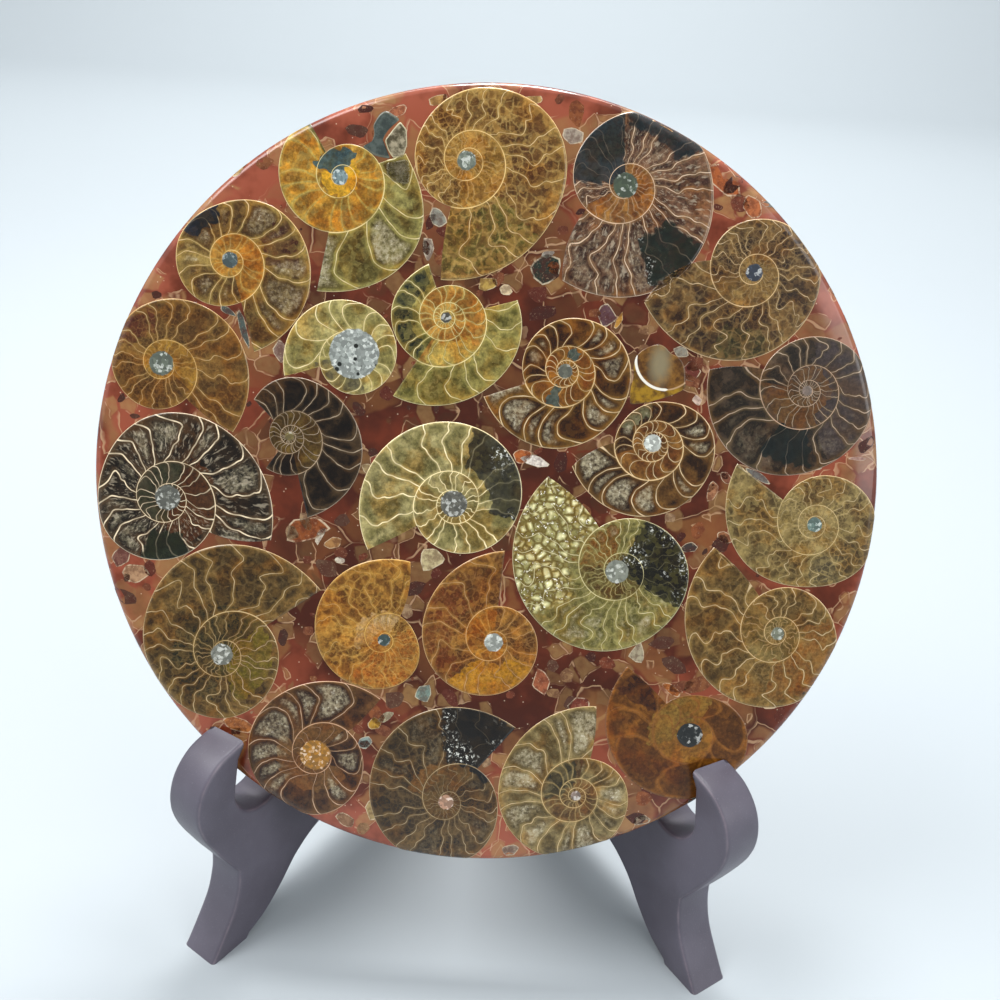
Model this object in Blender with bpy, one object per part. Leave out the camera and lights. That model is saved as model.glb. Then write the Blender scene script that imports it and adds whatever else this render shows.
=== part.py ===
"""Ammonite fossil slice on its folding display stand.

A round slab of red-brown cast resin, polished flat on its front, holds twenty-four sliced
ammonites and one broken piece of shell, all flush with the polished face. The slab leans
back in a stand of two boards that open like a book about a hinge behind it: each board
has a leg and a scroll in front, a round notch for the slab's lower edge, and a rest that
follows the slab's back.

Front faces -Y, +X is the viewer's right, +Z is up, and the stand's feet are on Z = 0.
Lengths below are in millimetres; MM turns them into Blender's metres.
"""
import math

import bmesh
import bpy
from mathutils import Matrix, Vector

MM = 0.001
GAP = 0.3                    # clearance between pieces that touch in the real object

# The slab
SLAB_R = 100.0               # radius
SLAB_T = 12.0                # thickness
FACE_ROUND = 2.0             # rounding of the front edge
BACK_CHAMFER = 1.0           # chamfer of the back edge
SLAB_LEAN = 19.5             # degrees that the slab leans back
SLAB_Y, SLAB_HEIGHT = -16.9, 133.0   # where the front face's centre stands
RIM_STEPS = 100              # facets round the slab

# The slices: thickness, and the margin that keeps them inside the polished face
SLICE_T = 5.0
SLICE_LIMIT = SLAB_R - FACE_ROUND - 0.7
SLICE_INSET = 0.4            # the measured outline includes half of the resin seam
SLICE_STEPS = 34             # facets round a slice

# Each ammonite: centre of the coil on the face (x, y), angle of the mouth in degrees
# (counter-clockwise from the viewer's right), way that the coil runs back from the mouth
# (1 counter-clockwise, -1 clockwise), how many degrees the mouth's inner end is ahead of
# its tip, radii of the outer whorl at the mouth and at every 60 degrees back from it, and
# the stretch of the outer whorl that is broken away (None where it is whole).
WHORL_STEP = 60.0
AMMONITES = (
    ((-41.0, 74.6), 261, 1, 0, (28.1, 25.0, 17.2, 17.3, 15.8, 14.6, 13.5), (122, 222)),
    ((-10.3, 80.6), 261, 1, 7, (29.3, 25.6, 23.6, 17.6, 13.6, 12.4, 11.5), None),
    ((28.9, 77.4), 240, 1, 25, (27.5, 26.2, 21.7, 19.5, 15.5, 12.8, 10.0), None),
    ((62.5, 58.7), 199, 1, 30, (28.1, 22.4, 17.8, 15.9, 13.3, 12.0, 10.4), None),
    ((-67.1, 52.9), 287, 1, 0, (23.1, 20.5, 17.3, 13.6, 13.5, 12.8, 10.5), None),
    ((-83.4, 26.4), 319, 1, 11, (24.4, 20.6, 16.5, 13.6, 12.3, 11.7, 10.2), None),
    ((-35.4, 32.0), 201, -1, 3, (18.4, 15.7, 12.5, 10.9, 10.3, 10.0, 9.0), None),
    ((-13.0, 42.5), 239, 1, 0, (23.6, 20.5, 19.0, 16.3, 13.6, 13.7, 12.8), (138, 232)),
    ((17.6, 31.3), 201, 1, 0, (21.4, 19.8, 17.4, 16.1, 13.5, 11.6, 10.4), None),
    ((78.7, 30.6), 172, 1, 14, (25.4, 24.2, 19.6, 17.0, 14.8, 12.9, 12.1), None),
    ((41.1, 14.8), 200, 1, 16, (21.2, 19.2, 16.9, 15.0, 10.8, 9.4, 9.8), None),
    ((-81.0, -7.4), 341, 1, 18, (28.2, 23.6, 21.2, 17.8, 18.2, 15.6, 12.8), None),
    ((-50.7, 10.3), 285, 1, 0, (21.2, 19.2, 15.7, 14.5, 11.3, 10.2, 9.8), (212, 312)),
    ((-8.2, -4.1), 212, -1, 3, (25.1, 23.0, 20.8, 18.6, 15.4, 12.6, 10.9), None),
    ((34.8, -18.8), 130, 1, 14, (30.4, 26.2, 22.2, 19.2, 18.2, 14.8, 11.8), None),
    ((84.2, -3.2), 146, 1, 0, (25.6, 20.7, 16.4, 16.8, 15.3, 12.8, 10.4), None),
    ((77.8, -32.3), 131, 1, 10, (28.5, 23.4, 20.6, 18.4, 14.8, 12.9, 10.9), None),
    ((-65.9, -47.6), 37, 1, 0, (31.2, 28.5, 21.9, 18.0, 17.1, 15.2, 14.2), None),
    ((-24.0, -40.9), 75, 1, 15, (21.8, 20.2, 17.0, 13.6, 11.5, 8.2, 7.4), None),
    ((4.4, -39.6), 87, 1, 0, (24.3, 20.1, 17.4, 14.4, 12.2, 10.9, 9.7), None),
    ((-40.5, -73.2), 45, 1, 5, (23.2, 19.3, 18.0, 16.7, 16.3, 13.3, 10.7), None),
    ((-5.3, -83.9), 52, 1, 0, (27.6, 25.1, 20.7, 18.2, 17.0, 14.0, 12.4), None),
    ((28.9, -79.8), 82, 1, 9, (25.1, 21.3, 20.2, 18.0, 14.8, 13.3, 10.6), None),
    ((57.5, -61.1), 136, 1, 5, (25.0, 21.2, 18.1, 16.5, 14.7, 11.2, 10.6), None),
)
# Broken piece of shell between the ammonites, its corners on the face
FRAGMENT = (
    (34.9, 24.6), (38.5, 25.3), (42.0, 26.5), (45.0, 27.7), (47.6, 29.3), (47.4, 33.0),
    (46.6, 35.2), (45.5, 36.4), (43.3, 37.3), (41.6, 39.0), (40.2, 39.3), (38.1, 38.5),
    (36.3, 37.3), (35.4, 36.2), (35.1, 34.0), (35.2, 31.5), (34.7, 27.0),
)

# The stand's boards. S runs along a board from the front foot towards the hinge, Z up.
BOARD_T = 12.0               # thickness
BOARD_OPEN = 34.6            # degrees between each board and the way straight back
FOOT_X, FOOT_Y = 66.7, -56.8  # S = 0 of the boards' inner faces, +X and -X
EDGE_CHAMFER = 0.6
NOTCH_S, NOTCH_Z, NOTCH_R = 20.4, 53.2, 8.8
REST_S, REST_RISE = 7.1, 0.43   # the rest is the line S = REST_S + REST_RISE * Z
REST_TOP_Z = 140.0
TIP_X, TIP_Y = 70.0, -66.0   # where the scrolls' tips stand before the slab's face
TIP_RELIEF = (30.0, 8.0, 16.0)
BODY_END_S = 113.5           # where the boards stop short of each other
KNUCKLE_LEVELS = (6.0, 26.0, 48.0, 68.0)   # the hinge's fingers meet at the middle two
KNUCKLE_R = 7.0
PIN_R = 1.6

RESIN = ("cast_resin", "6E2418", 0.18, 0.0)
SHELL = ("shell_fragment", "A8742E", 0.25, 0.0)
BOARD = ("moulded_abs", "4A454C", 0.55, 0.0)
PIN = ("steel_pin", "A9ABAE", 0.35, 1.0)
SLICE_COLOURS = (
    "B98A2E", "A67A33", "5B4A3F", "6A5130", "A7762F", "8C6330", "A79A56", "A88644",
    "80521F", "6B5140", "7A5327", "4A4030", "4B3D33", "A39B62", "7D7A48", "83723F",
    "8A6B38", "7A6330", "AE8234", "B57F2C", "7A5730", "5E4C33", "92774A", "8E5B22",
)


def linear(hex_colour):
    """sRGB hex colour as linear RGBA."""
    out = []
    for i in (0, 2, 4):
        c = int(hex_colour[i:i + 2], 16) / 255.0
        out.append(c / 12.92 if c <= 0.04045 else ((c + 0.055) / 1.055) ** 2.4)
    return (*out, 1.0)


def material(name, hex_colour, roughness, metallic):
    mat = bpy.data.materials.new(name)
    mat.use_nodes = True
    bsdf = mat.node_tree.nodes["Principled BSDF"]
    bsdf.inputs["Base Color"].default_value = linear(hex_colour)
    bsdf.inputs["Roughness"].default_value = roughness
    bsdf.inputs["Metallic"].default_value = metallic
    mat.diffuse_color = linear(hex_colour)
    return mat


def add_object(name, bm, mat=None, parent=None):
    bmesh.ops.recalc_face_normals(bm, faces=bm.faces)
    mesh = bpy.data.meshes.new(name)
    bm.to_mesh(mesh)
    bm.free()
    if mat:
        mesh.materials.append(mat)
    obj = bpy.data.objects.new(name, mesh)
    obj.parent = parent
    bpy.context.scene.collection.objects.link(obj)
    return obj


def prism(bm, outline, start, end, place):
    """Close a prism over an outline of (a, b) points between two depths.

    place(a, b, depth) gives the point in space."""
    low = [bm.verts.new(place(a, b, start)) for a, b in outline]
    high = [bm.verts.new(place(a, b, end)) for a, b in outline]
    bm.faces.new(low)
    bm.faces.new(list(reversed(high)))
    for i in range(len(outline)):
        j = (i + 1) % len(outline)
        bm.faces.new((low[j], low[i], high[i], high[j]))


# ---------------------------------------------------------------- outlines on the face

def whorl_radius(radii, turn):
    """Radius of the coil at an angle back from the mouth.

    The logarithm of the radius runs smoothly (cubic Hermite) through the given ones, and
    each earlier turn repeats the later one, smaller by the same ratio."""
    ratio = radii[0] / radii[-1]
    whole, turn = divmod(turn, 360.0)
    logs = [math.log(r) for r in radii]
    step = math.log(ratio)
    logs = [logs[-2] + step] + logs + [logs[1] - step]
    i = min(int(turn // WHORL_STEP), len(radii) - 2)
    t = turn / WHORL_STEP - i
    a, b, c, d = logs[i:i + 4]
    slope_b, slope_c = (c - a) / 2.0, (d - b) / 2.0
    value = (b * (2 * t ** 3 - 3 * t ** 2 + 1) + slope_b * (t ** 3 - 2 * t ** 2 + t)
             + c * (3 * t ** 2 - 2 * t ** 3) + slope_c * (t ** 3 - t ** 2))
    return math.exp(value) / ratio ** whole


def slice_outline(centre, mouth, way, ahead, radii, broken, grow):
    """Outline of a slice: one turn of the coil, closed by its mouth.

    Over a broken stretch the outline drops to the whorl inside."""
    last = 360.0 - ahead
    turns = [last * i / SLICE_STEPS for i in range(SLICE_STEPS + 1)]
    if broken:
        turns = [t for t in turns if all(abs(t - b) > 4.0 for b in broken)]
        turns = sorted(turns + [broken[0] - 0.01, broken[0] + 0.01,
                                broken[1] - 0.01, broken[1] + 0.01])
    points = []
    for turn in turns:
        inner = broken is not None and broken[0] < turn < broken[1]
        radius = whorl_radius(radii, turn + (360.0 if inner else 0.0))
        radius += grow - SLICE_INSET
        angle = math.radians(mouth + way * turn)
        point = Vector(centre) + radius * Vector((math.cos(angle), math.sin(angle)))
        limit = SLICE_LIMIT + grow
        if point.length > limit:
            point *= limit / point.length
        points.append(point)
    if grow:
        points = widened_mouth(points, grow)
    return points


def widened_mouth(points, grow):
    """Move the mouth's two corners out by `grow`, square to the line between them."""
    tip, heel = points[0], points[-1]
    along = (heel - tip).normalized()
    across = Vector((along.y, -along.x))
    middle = sum(points, Vector((0.0, 0.0))) / len(points)
    if across.dot(tip - middle) < 0.0:
        across = -across
    return [tip + grow * across] + points[1:-1] + [heel + grow * across]


def fragment_outline(grow):
    middle = sum((Vector(p) for p in FRAGMENT), Vector((0.0, 0.0))) / len(FRAGMENT)
    return [Vector(p) + (Vector(p) - middle).normalized() * grow * 1.3 for p in FRAGMENT]


def on_face(x, y, depth):
    """Point of the slab in its own frame: face at Y = 0, back towards +Y."""
    return Vector((x, depth, y)) * MM


# ------------------------------------------------------------------------- the slab

def slab_profile():
    """Half section of the slab as (radius, depth), from the face's middle to the back's."""
    profile = []
    for i in range(5):
        angle = math.radians(90.0 * i / 4)
        profile.append((SLAB_R - FACE_ROUND * (1.0 - math.sin(angle)),
                        FACE_ROUND * (1.0 - math.cos(angle))))
    profile += [(SLAB_R, SLAB_T - BACK_CHAMFER), (SLAB_R - BACK_CHAMFER, SLAB_T)]
    return profile


def make_slab(parent, mat):
    bm = bmesh.new()
    rings = []
    for radius, depth in slab_profile():
        ring = []
        for i in range(RIM_STEPS):
            angle = 2.0 * math.pi * i / RIM_STEPS
            ring.append(bm.verts.new(on_face(radius * math.cos(angle),
                                             radius * math.sin(angle), depth)))
        rings.append(ring)
    for inner, outer in zip(rings, rings[1:]):
        for i in range(RIM_STEPS):
            j = (i + 1) % RIM_STEPS
            bm.faces.new((inner[i], inner[j], outer[j], outer[i]))
    bm.faces.new(rings[0])
    bm.faces.new(rings[-1])
    slab = add_object("resin_slab", bm, mat, parent)

    bm = bmesh.new()
    outlines = [slice_outline(*row, GAP) for row in AMMONITES] + [fragment_outline(GAP)]
    for outline in outlines:
        prism(bm, outline, -3.0, SLICE_T + GAP, on_face)
    pockets = add_object("pockets", bm, None, parent)
    cut_by(slab, pockets, "DIFFERENCE")
    return slab


def cut_by(obj, tool, operation):
    tool.hide_render = True
    tool.display_type = "WIRE"
    mod = obj.modifiers.new(tool.name, "BOOLEAN")
    mod.operation = operation
    mod.solver = "EXACT"
    mod.object = tool


# ------------------------------------------------------------------------ the stand

def smooth_through(points, steps):
    """Catmull-Rom curve through the points, with `steps` spans between neighbours."""
    pts = [Vector(p) for p in points]
    pts = [2 * pts[0] - pts[1]] + pts + [2 * pts[-1] - pts[-2]]
    out = []
    for a, b, c, d in zip(pts, pts[1:], pts[2:], pts[3:]):
        for i in range(steps):
            t = i / steps
            out.append(0.5 * (2 * b + (c - a) * t + (2 * a - 5 * b + 4 * c - d) * t ** 2
                              + (3 * b - a - 3 * c + d) * t ** 3))
    return out + [pts[-2]]


def board_outline(finger_levels):
    """Side view of a board as (S, Z) points, counter-clockwise from the front foot's toe."""
    leg = smooth_through([(-0.5, 0.0), (4.2, 7.0), (8.3, 14.0), (10.4, 21.0), (10.9, 26.4)], 3)
    scroll = smooth_through([(10.9, 26.4), (5.2, 36.5), (0.4, 46.5), (-0.9, 54.5),
                             (1.4, 62.0), (7.0, 67.2), (15.2, 69.4)], 3)
    lip = [Vector((15.6, 68.2)), Vector((13.4, 64.6))]
    start, end = math.radians(172.0), math.radians(-math.degrees(math.atan(REST_RISE)))
    notch = []
    for i in range(13):
        angle = start + (2.0 * math.pi + end - start) * i / 12
        notch.append(Vector((NOTCH_S + NOTCH_R * math.cos(angle),
                             NOTCH_Z + NOTCH_R * math.sin(angle))))
    top_s = REST_S + REST_RISE * REST_TOP_Z
    horn = smooth_through([(top_s, REST_TOP_Z), (top_s + 4.2, REST_TOP_Z + 5.2),
                           (top_s + 10.6, REST_TOP_Z + 3.4), (top_s + 14.6, REST_TOP_Z - 3.0),
                           (84.0, 118.0), (88.5, 100.0), (97.0, 84.0),
                           (106.0, 77.0), (BODY_END_S, 74.5)], 3)
    hinge_s = hinge_distance()
    edge = []
    for low, high in reversed(finger_levels):
        edge += [Vector((BODY_END_S, high)), Vector((hinge_s, high)),
                 Vector((hinge_s, low)), Vector((BODY_END_S, low))]
    back_foot = [Vector((BODY_END_S, 0.0))]
    arch = smooth_through([(97.0, 0.0), (93.0, 8.0), (84.0, 16.5), (70.0, 22.5),
                           (55.0, 24.0), (42.0, 22.0), (33.0, 17.0), (26.0, 9.5),
                           (19.5, 3.8), (12.0, 0.0)], 2)
    curve = leg[:-1] + scroll + lip + notch + horn + edge + back_foot + arch
    return list(reversed(curve))


def hinge_distance():
    """S at which the middle planes of the two boards meet, on the hinge's axis."""
    angle = math.radians(BOARD_OPEN)
    return (FOOT_X + 0.5 * BOARD_T * math.cos(angle)) / math.sin(angle)


def hinge_y():
    angle = math.radians(BOARD_OPEN)
    return FOOT_Y + hinge_distance() * math.cos(angle) + 0.5 * BOARD_T * math.sin(angle)


def make_board(name, side, finger_levels, mat, slab_frame):
    """One board: side 1 is at the viewer's right, side -1 at the left.

    The outer side of the scroll's tip is planed off flush with the slab's face."""
    angle = math.radians(BOARD_OPEN)
    back = Vector((-side * math.sin(angle), math.cos(angle), 0.0))
    out = Vector((side * math.cos(angle), math.sin(angle), 0.0))
    foot = Vector((side * FOOT_X, FOOT_Y, 0.0))
    hinge = Vector((0.0, hinge_y(), 0.0))

    def on_board(s, z, depth):
        return (foot + back * s + out * depth + Vector((0.0, 0.0, z)) - hinge) * MM

    bm = bmesh.new()
    prism(bm, board_outline(finger_levels), 0.0, BOARD_T, on_board)
    hinge_side = (back * (BODY_END_S - 0.1) + foot - hinge).dot(back) * MM
    rims = [e for e in bm.edges
            if abs((e.verts[1].co - e.verts[0].co).normalized().dot(out)) < 0.5
            and max(v.co.z for v in e.verts) > 1e-5
            and max(v.co.dot(back) for v in e.verts) < hinge_side]
    bmesh.ops.bevel(bm, geom=rims, offset=EDGE_CHAMFER * MM, segments=1, affect="EDGES",
                    clamp_overlap=True)
    board = add_object(name, bm, mat)
    board.location = hinge * MM

    bm = bmesh.new()
    width, depth, height = TIP_RELIEF
    size = Matrix.Diagonal((width * MM, depth * MM, height * MM, 1.0))
    bmesh.ops.create_cube(bm, size=1.0, matrix=size)
    relief = add_object(f"{name}_relief", bm, None, slab_frame)
    relief.location = on_face(side * TIP_X, TIP_Y, 0.5 * depth - GAP)
    cut_by(board, relief, "DIFFERENCE")
    for i, (low, high) in enumerate(finger_levels):
        bm = bmesh.new()
        height = (high - low) * MM
        middle = Matrix.Translation((0.0, 0.0, 0.5 * (low + high) * MM))
        bmesh.ops.create_cone(bm, cap_ends=True, segments=32, radius1=KNUCKLE_R * MM,
                              radius2=KNUCKLE_R * MM, depth=height, matrix=middle)
        knuckle = add_object(f"{name}_knuckle_{i}", bm)
        knuckle.location = board.location
        cut_by(board, knuckle, "UNION")
    bm = bmesh.new()
    bmesh.ops.create_cone(bm, cap_ends=True, segments=20, radius1=(PIN_R + GAP) * MM,
                          radius2=(PIN_R + GAP) * MM, depth=200.0 * MM)
    bore = add_object(f"{name}_bore", bm)
    bore.location = board.location
    cut_by(board, bore, "DIFFERENCE")
    return board


def make_pin(mat):
    bm = bmesh.new()
    low, high = KNUCKLE_LEVELS[0] + 0.5, KNUCKLE_LEVELS[-1] - 0.5
    bmesh.ops.create_cone(bm, cap_ends=True, segments=20, radius1=PIN_R * MM,
                          radius2=PIN_R * MM, depth=(high - low) * MM)
    pin = add_object("hinge_pin", bm, mat)
    pin.location = Vector((0.0, hinge_y(), 0.5 * (low + high))) * MM


# ------------------------------------------------------------------------ the object

def main():
    for obj in list(bpy.data.objects):
        bpy.data.objects.remove(obj, do_unlink=True)

    slab_frame = bpy.data.objects.new("slab_frame", None)
    slab_frame.location = (0.0, SLAB_Y * MM, SLAB_HEIGHT * MM)
    slab_frame.rotation_euler = (-math.radians(SLAB_LEAN), 0.0, 0.0)
    bpy.context.scene.collection.objects.link(slab_frame)

    make_slab(slab_frame, material(*RESIN))
    for i, row in enumerate(AMMONITES):
        mat = material(f"ammonite_{i + 1:02d}", SLICE_COLOURS[i], 0.25, 0.0)
        centre = row[0]
        bm = bmesh.new()
        prism(bm, [p - Vector(centre) for p in slice_outline(*row, 0.0)], 0.0, SLICE_T,
              on_face)
        piece = add_object(f"ammonite_{i + 1:02d}", bm, mat, slab_frame)
        piece.location = on_face(*centre, 0.0)
    bm = bmesh.new()
    prism(bm, fragment_outline(0.0), 0.0, SLICE_T, on_face)
    add_object("shell_fragment", bm, material(*SHELL), slab_frame)

    board_mat = material(*BOARD)
    foot, low, high, top = KNUCKLE_LEVELS
    make_board("stand_left", -1, [(foot, low - GAP), (high + GAP, top)], board_mat,
               slab_frame)
    make_board("stand_right", 1, [(low, high)], board_mat, slab_frame)
    make_pin(material(*PIN))


main()
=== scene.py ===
import math
from functools import partial

import bmesh
import bpy
import numpy as np
from mathutils import Matrix


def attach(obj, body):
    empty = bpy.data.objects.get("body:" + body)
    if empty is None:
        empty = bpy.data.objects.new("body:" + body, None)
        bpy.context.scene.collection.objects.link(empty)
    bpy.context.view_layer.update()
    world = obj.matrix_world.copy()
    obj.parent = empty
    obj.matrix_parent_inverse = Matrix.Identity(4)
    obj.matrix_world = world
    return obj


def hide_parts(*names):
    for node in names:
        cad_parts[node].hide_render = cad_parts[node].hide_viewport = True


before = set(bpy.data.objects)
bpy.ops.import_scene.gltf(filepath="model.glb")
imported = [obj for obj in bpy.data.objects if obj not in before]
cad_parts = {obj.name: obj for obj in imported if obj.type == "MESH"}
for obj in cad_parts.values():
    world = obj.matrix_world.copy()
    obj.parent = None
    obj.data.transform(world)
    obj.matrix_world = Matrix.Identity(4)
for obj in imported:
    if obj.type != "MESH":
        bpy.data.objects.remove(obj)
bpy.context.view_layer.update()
scene = bpy.context.scene

# ------------------------------------------------------------------ the resin slab
# A round slab cast in dyed polyester resin, 200 mm across and 12 mm thick. Its face and
# front edge are ground and polished; broken shell and sand in the cast make it cloudy.
MM = 0.001
LEAN = math.radians(19.5)
FACE_CENTRE = np.array([0.0, -16.9, 133.0])
SLAB_R, SLAB_T = 100.0, 12.0
FACE_ROUND = 2.0
INWARDS = np.array([0.0, math.cos(LEAN), -math.sin(LEAN)])    # from the face to the back
RESIN_DEEP, RESIN_MID, RESIN_RIM_GLOW = "451C0E", "70301A", "A0523A"


def in_frame(x, y, depth):
    """Point of the face (x to the right, y up the face, depth behind it) in the row
    frame: the face's centre, plus x along X, plus y and depth turned back by the lean."""
    return np.stack([x + 0.0 * depth,
                     FACE_CENTRE[1] + y * math.sin(LEAN) + depth * math.cos(LEAN),
                     FACE_CENTRE[2] + y * math.cos(LEAN) - depth * math.sin(LEAN)],
                    axis=-1) * MM


def edge_depth(r):
    """Depth of the polished surface at a radius: nothing on the flat face, then a
    quarter circle of the edge's rounding."""
    s = np.clip((r - (SLAB_R - FACE_ROUND)) / FACE_ROUND, 0.0, 1.0)
    return FACE_ROUND * (1.0 - np.sqrt(np.clip(1.0 - s * s, 0.0, 1.0)))


def grid_faces(rows, cols, closed=False):
    """Quads over a grid of rows x cols points, numbered row by row; closed joins the
    last column to the first."""
    i, j = np.meshgrid(np.arange(rows - 1), np.arange(cols if closed else cols - 1),
                       indexing="ij")
    k = (j + 1) % cols
    return np.stack([i * cols + j, i * cols + k, (i + 1) * cols + k, (i + 1) * cols + j],
                    axis=-1).reshape(-1, 4)


def mesh_from(name, points, faces, attributes=None):
    """Smooth mesh of points (n, 3) and faces (m, 3 or 4), with one number per point and
    attribute handed to the corners of its faces."""
    mesh = bpy.data.meshes.new(name)
    mesh.from_pydata(points.tolist(), [], faces.tolist())
    for key, values in (attributes or {}).items():
        layer = mesh.attributes.new(key, "FLOAT", "CORNER")
        layer.data.foreach_set("value", values[faces.ravel()].astype(np.float32))
    mesh.polygons.foreach_set("use_smooth", np.ones(len(faces), bool))
    mesh.update()
    return mesh


def closed_up(mesh):
    """Fills the open edges of a mesh and turns its faces outwards."""
    bm = bmesh.new()
    bm.from_mesh(mesh)
    bmesh.ops.holes_fill(bm, edges=[e for e in bm.edges if e.is_boundary])
    bmesh.ops.recalc_face_normals(bm, faces=bm.faces)
    bm.to_mesh(mesh)
    bm.free()
    return mesh


def add_piece(name, mesh, mat, nodes=()):
    """Object for a mesh: its material, the body it rides on and the parts it stands for,
    which are hidden."""
    mesh.materials.append(mat)
    piece = bpy.data.objects.new(name, mesh)
    scene.collection.objects.link(piece)
    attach(piece, "root")
    if nodes:
        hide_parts(*nodes)
    return piece


def linear(hex_colour):
    """sRGB hex colour as linear RGBA."""
    c = np.array([int(hex_colour[i:i + 2], 16) / 255.0 for i in (0, 2, 4)])
    c = np.where(c <= 0.04045, c / 12.92, ((c + 0.055) / 1.055) ** 2.4)
    return (*c.tolist(), 1.0)


# What nearly every node of these kinds is set to; add_node's settings come on top.
USUAL = {"Math": {"operation": "MULTIPLY"}, "Mix": {"data_type": "RGBA"},
         "MapRange": {"interpolation_type": "SMOOTHSTEP"}}


def add_node(owner, kind, *values, out=None, **settings):
    """Shader node with its settings, on top of the usual ones of its kind. The values go
    to its live inputs in order: a socket is linked, a hex colour or a number is set, and
    None is passed over. Returns the output named out, or else the first live one."""
    node = owner.node_tree.nodes.new(f"ShaderNode{kind}")
    for name, value in {**USUAL.get(kind, {}), **settings}.items():
        setattr(node, name, value)
    for socket, value in zip([s for s in node.inputs if s.enabled], values):
        if isinstance(value, bpy.types.NodeSocket):
            owner.node_tree.links.new(value, socket)
        elif value is not None:
            socket.default_value = linear(value) if isinstance(value, str) else value
    return node.outputs[out] if out else next(s for s in node.outputs if s.enabled)


def new_material(name, roughness, ior, **inputs):
    """Node material: returns it, its Principled shader and add_node bound to it."""
    mat = bpy.data.materials.new(name)
    mat.use_nodes = True
    shader = mat.node_tree.nodes["Principled BSDF"]
    for key, value in {"Roughness": roughness, "IOR": ior, **inputs}.items():
        shader.inputs[key.replace("_", " ")].default_value = value
    return mat, shader, partial(add_node, mat)


def bent(put, where, scale, by):
    """Coordinates pushed about by a noise of the given scale, by up to that distance."""
    push = put("TexNoise", where, scale, out="Color")
    return put("VectorMath", where, put("VectorMath", push, by, operation="SCALE"))


def resin_surface():
    """Half section of the slab turned about its axis: flat face, rounded front edge that
    swells by a few tenths of a millimetre round the rim as hand polishing leaves it, side,
    chamfer and flat back."""
    turn = np.linspace(0.0, 2.0 * np.pi, 361)[:-1]
    swell = 0.5 + 0.25 * np.sin(3 * turn + 1.0) + 0.25 * np.sin(7 * turn + 2.4)
    flat = np.linspace(0.5, SLAB_R - FACE_ROUND, 12)
    bend = np.linspace(0.0, np.pi / 2.0, 9)[1:]
    radius = np.concatenate([flat, SLAB_R - FACE_ROUND + FACE_ROUND * np.sin(bend),
                             [SLAB_R, SLAB_R, SLAB_R - 0.3, SLAB_R - 1.0, 50.0, 0.5]])
    depth = np.concatenate([0.0 * flat, FACE_ROUND * (1.0 - np.cos(bend)),
                            [4.0, 10.8, 11.6, SLAB_T, SLAB_T, SLAB_T]])
    edge = (depth > 0.0) & (depth < FACE_ROUND + 0.1)
    r = radius[:, None] - 0.22 * edge[:, None] * swell[None, :]
    d = depth[:, None] + 0.04 * (depth[:, None] < 10.0) + 0.0 * r
    points = in_frame(r * np.cos(turn), r * np.sin(turn), d)
    return points.reshape(-1, 3), grid_faces(len(radius), len(turn), closed=True)


def cast_resin():
    """Dyed polyester resin, polished: red-brown and cloudy, paler and pinker towards the
    rim as a painted glow of light coming through the thin rim, with broken shell below the
    surface showing as soft brown and amber patches 5 to 11 mm across, some with a thin pale
    edge, and pale grit. IOR of polyester 1.56."""
    mat, shader, put = new_material("polished_dyed_resin", 0.12, 1.56, Subsurface_Weight=0.1,
                                    Subsurface_Radius=(0.003, 0.001, 0.0005),
                                    Subsurface_Scale=1.0)
    where = put("TexCoord", out="Object")
    # a pattern's scale is in repeats per metre, so 1000 over its size in millimetres
    # rim rises towards the edge; it carries the painted glow of light coming through the rim
    rim = put("Attribute", attribute_name="rim", out="Fac")
    cloud = put("TexNoise", where, 1000.0 / 15.0, 4.0, 0.55)
    cloud_and_rim_glow = put("Math", rim, 0.2, cloud, operation="MULTIPLY_ADD")
    base = put("Mix", put("MapRange", cloud_and_rim_glow, 0.40, 0.72), RESIN_DEEP, RESIN_MID)
    base = put("Mix", put("Math", put("MapRange", cloud, 0.42, 0.62), rim), base, RESIN_RIM_GLOW)
    curved = bent(put, where, 1000.0 / 7.0, 0.004)
    for size, share, colours in ((11.0, 0.42, ("8A5A30", "4A2412")),
                                 (5.0, 0.34, ("A88250", "3A1C0E"))):
        cell = put("TexVoronoi", curved, 1000.0 / size, out="Color")
        edge = put("TexVoronoi", curved, 1000.0 / size, feature="DISTANCE_TO_EDGE")
        pick = put("SeparateColor", cell).node.outputs
        there = put("Math", put("MapRange", pick["Red"], share + 0.04, share - 0.04),
                    put("MapRange", edge, 0.02, 0.12))
        veil = put("TexNoise", where, 1000.0 / (size * 0.4), 3.0, 0.55)
        soft = put("Math", veil, 0.9, 0.1, operation="MULTIPLY_ADD")
        # painted glow: the shell patches turn paler amber towards the rim
        amber = put("Mix", put("Math", rim, 0.6), put("Mix", pick["Green"], *colours), "B08252")
        base = put("Mix", put("Math", there, soft), base, amber)
        some = put("MapRange", put("TexNoise", where, 1000.0 / size, 2.0, 0.55), 0.46, 0.56)
        line = put("Math", put("MapRange", edge, 0.34 / size, 0.14 / size, 0.0, 0.6), some)
        within = put("MapRange", pick["Red"], share, share - 0.04)
        base = put("Mix", put("Math", line, within), base, "C8A27A")
    grit = put("TexVoronoi", where, 1000.0 / 2.4)
    base = put("Mix", put("MapRange", grit, 0.09, 0.05, 0.0, 0.6), base, "E2C8A8")
    mat.node_tree.links.new(base, shader.inputs["Base Color"])
    return mat


points, faces = resin_surface()
slab_xy = (points / MM - FACE_CENTRE) @ np.array([[1, 0], [0, math.sin(LEAN)],
                                                  [0, math.cos(LEAN)]])
# attribute for the resin's painted rim glow: 0 inside 55 mm, rising to 1 at the edge
mesh = mesh_from("resin_slab_cast", points, faces,
                 {"rim": np.clip((np.hypot(*slab_xy.T) - 55.0) / 45.0, 0, 1)})
add_piece("resin_slab_cast", closed_up(mesh), cast_resin(), ["resin_slab"])

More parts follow.
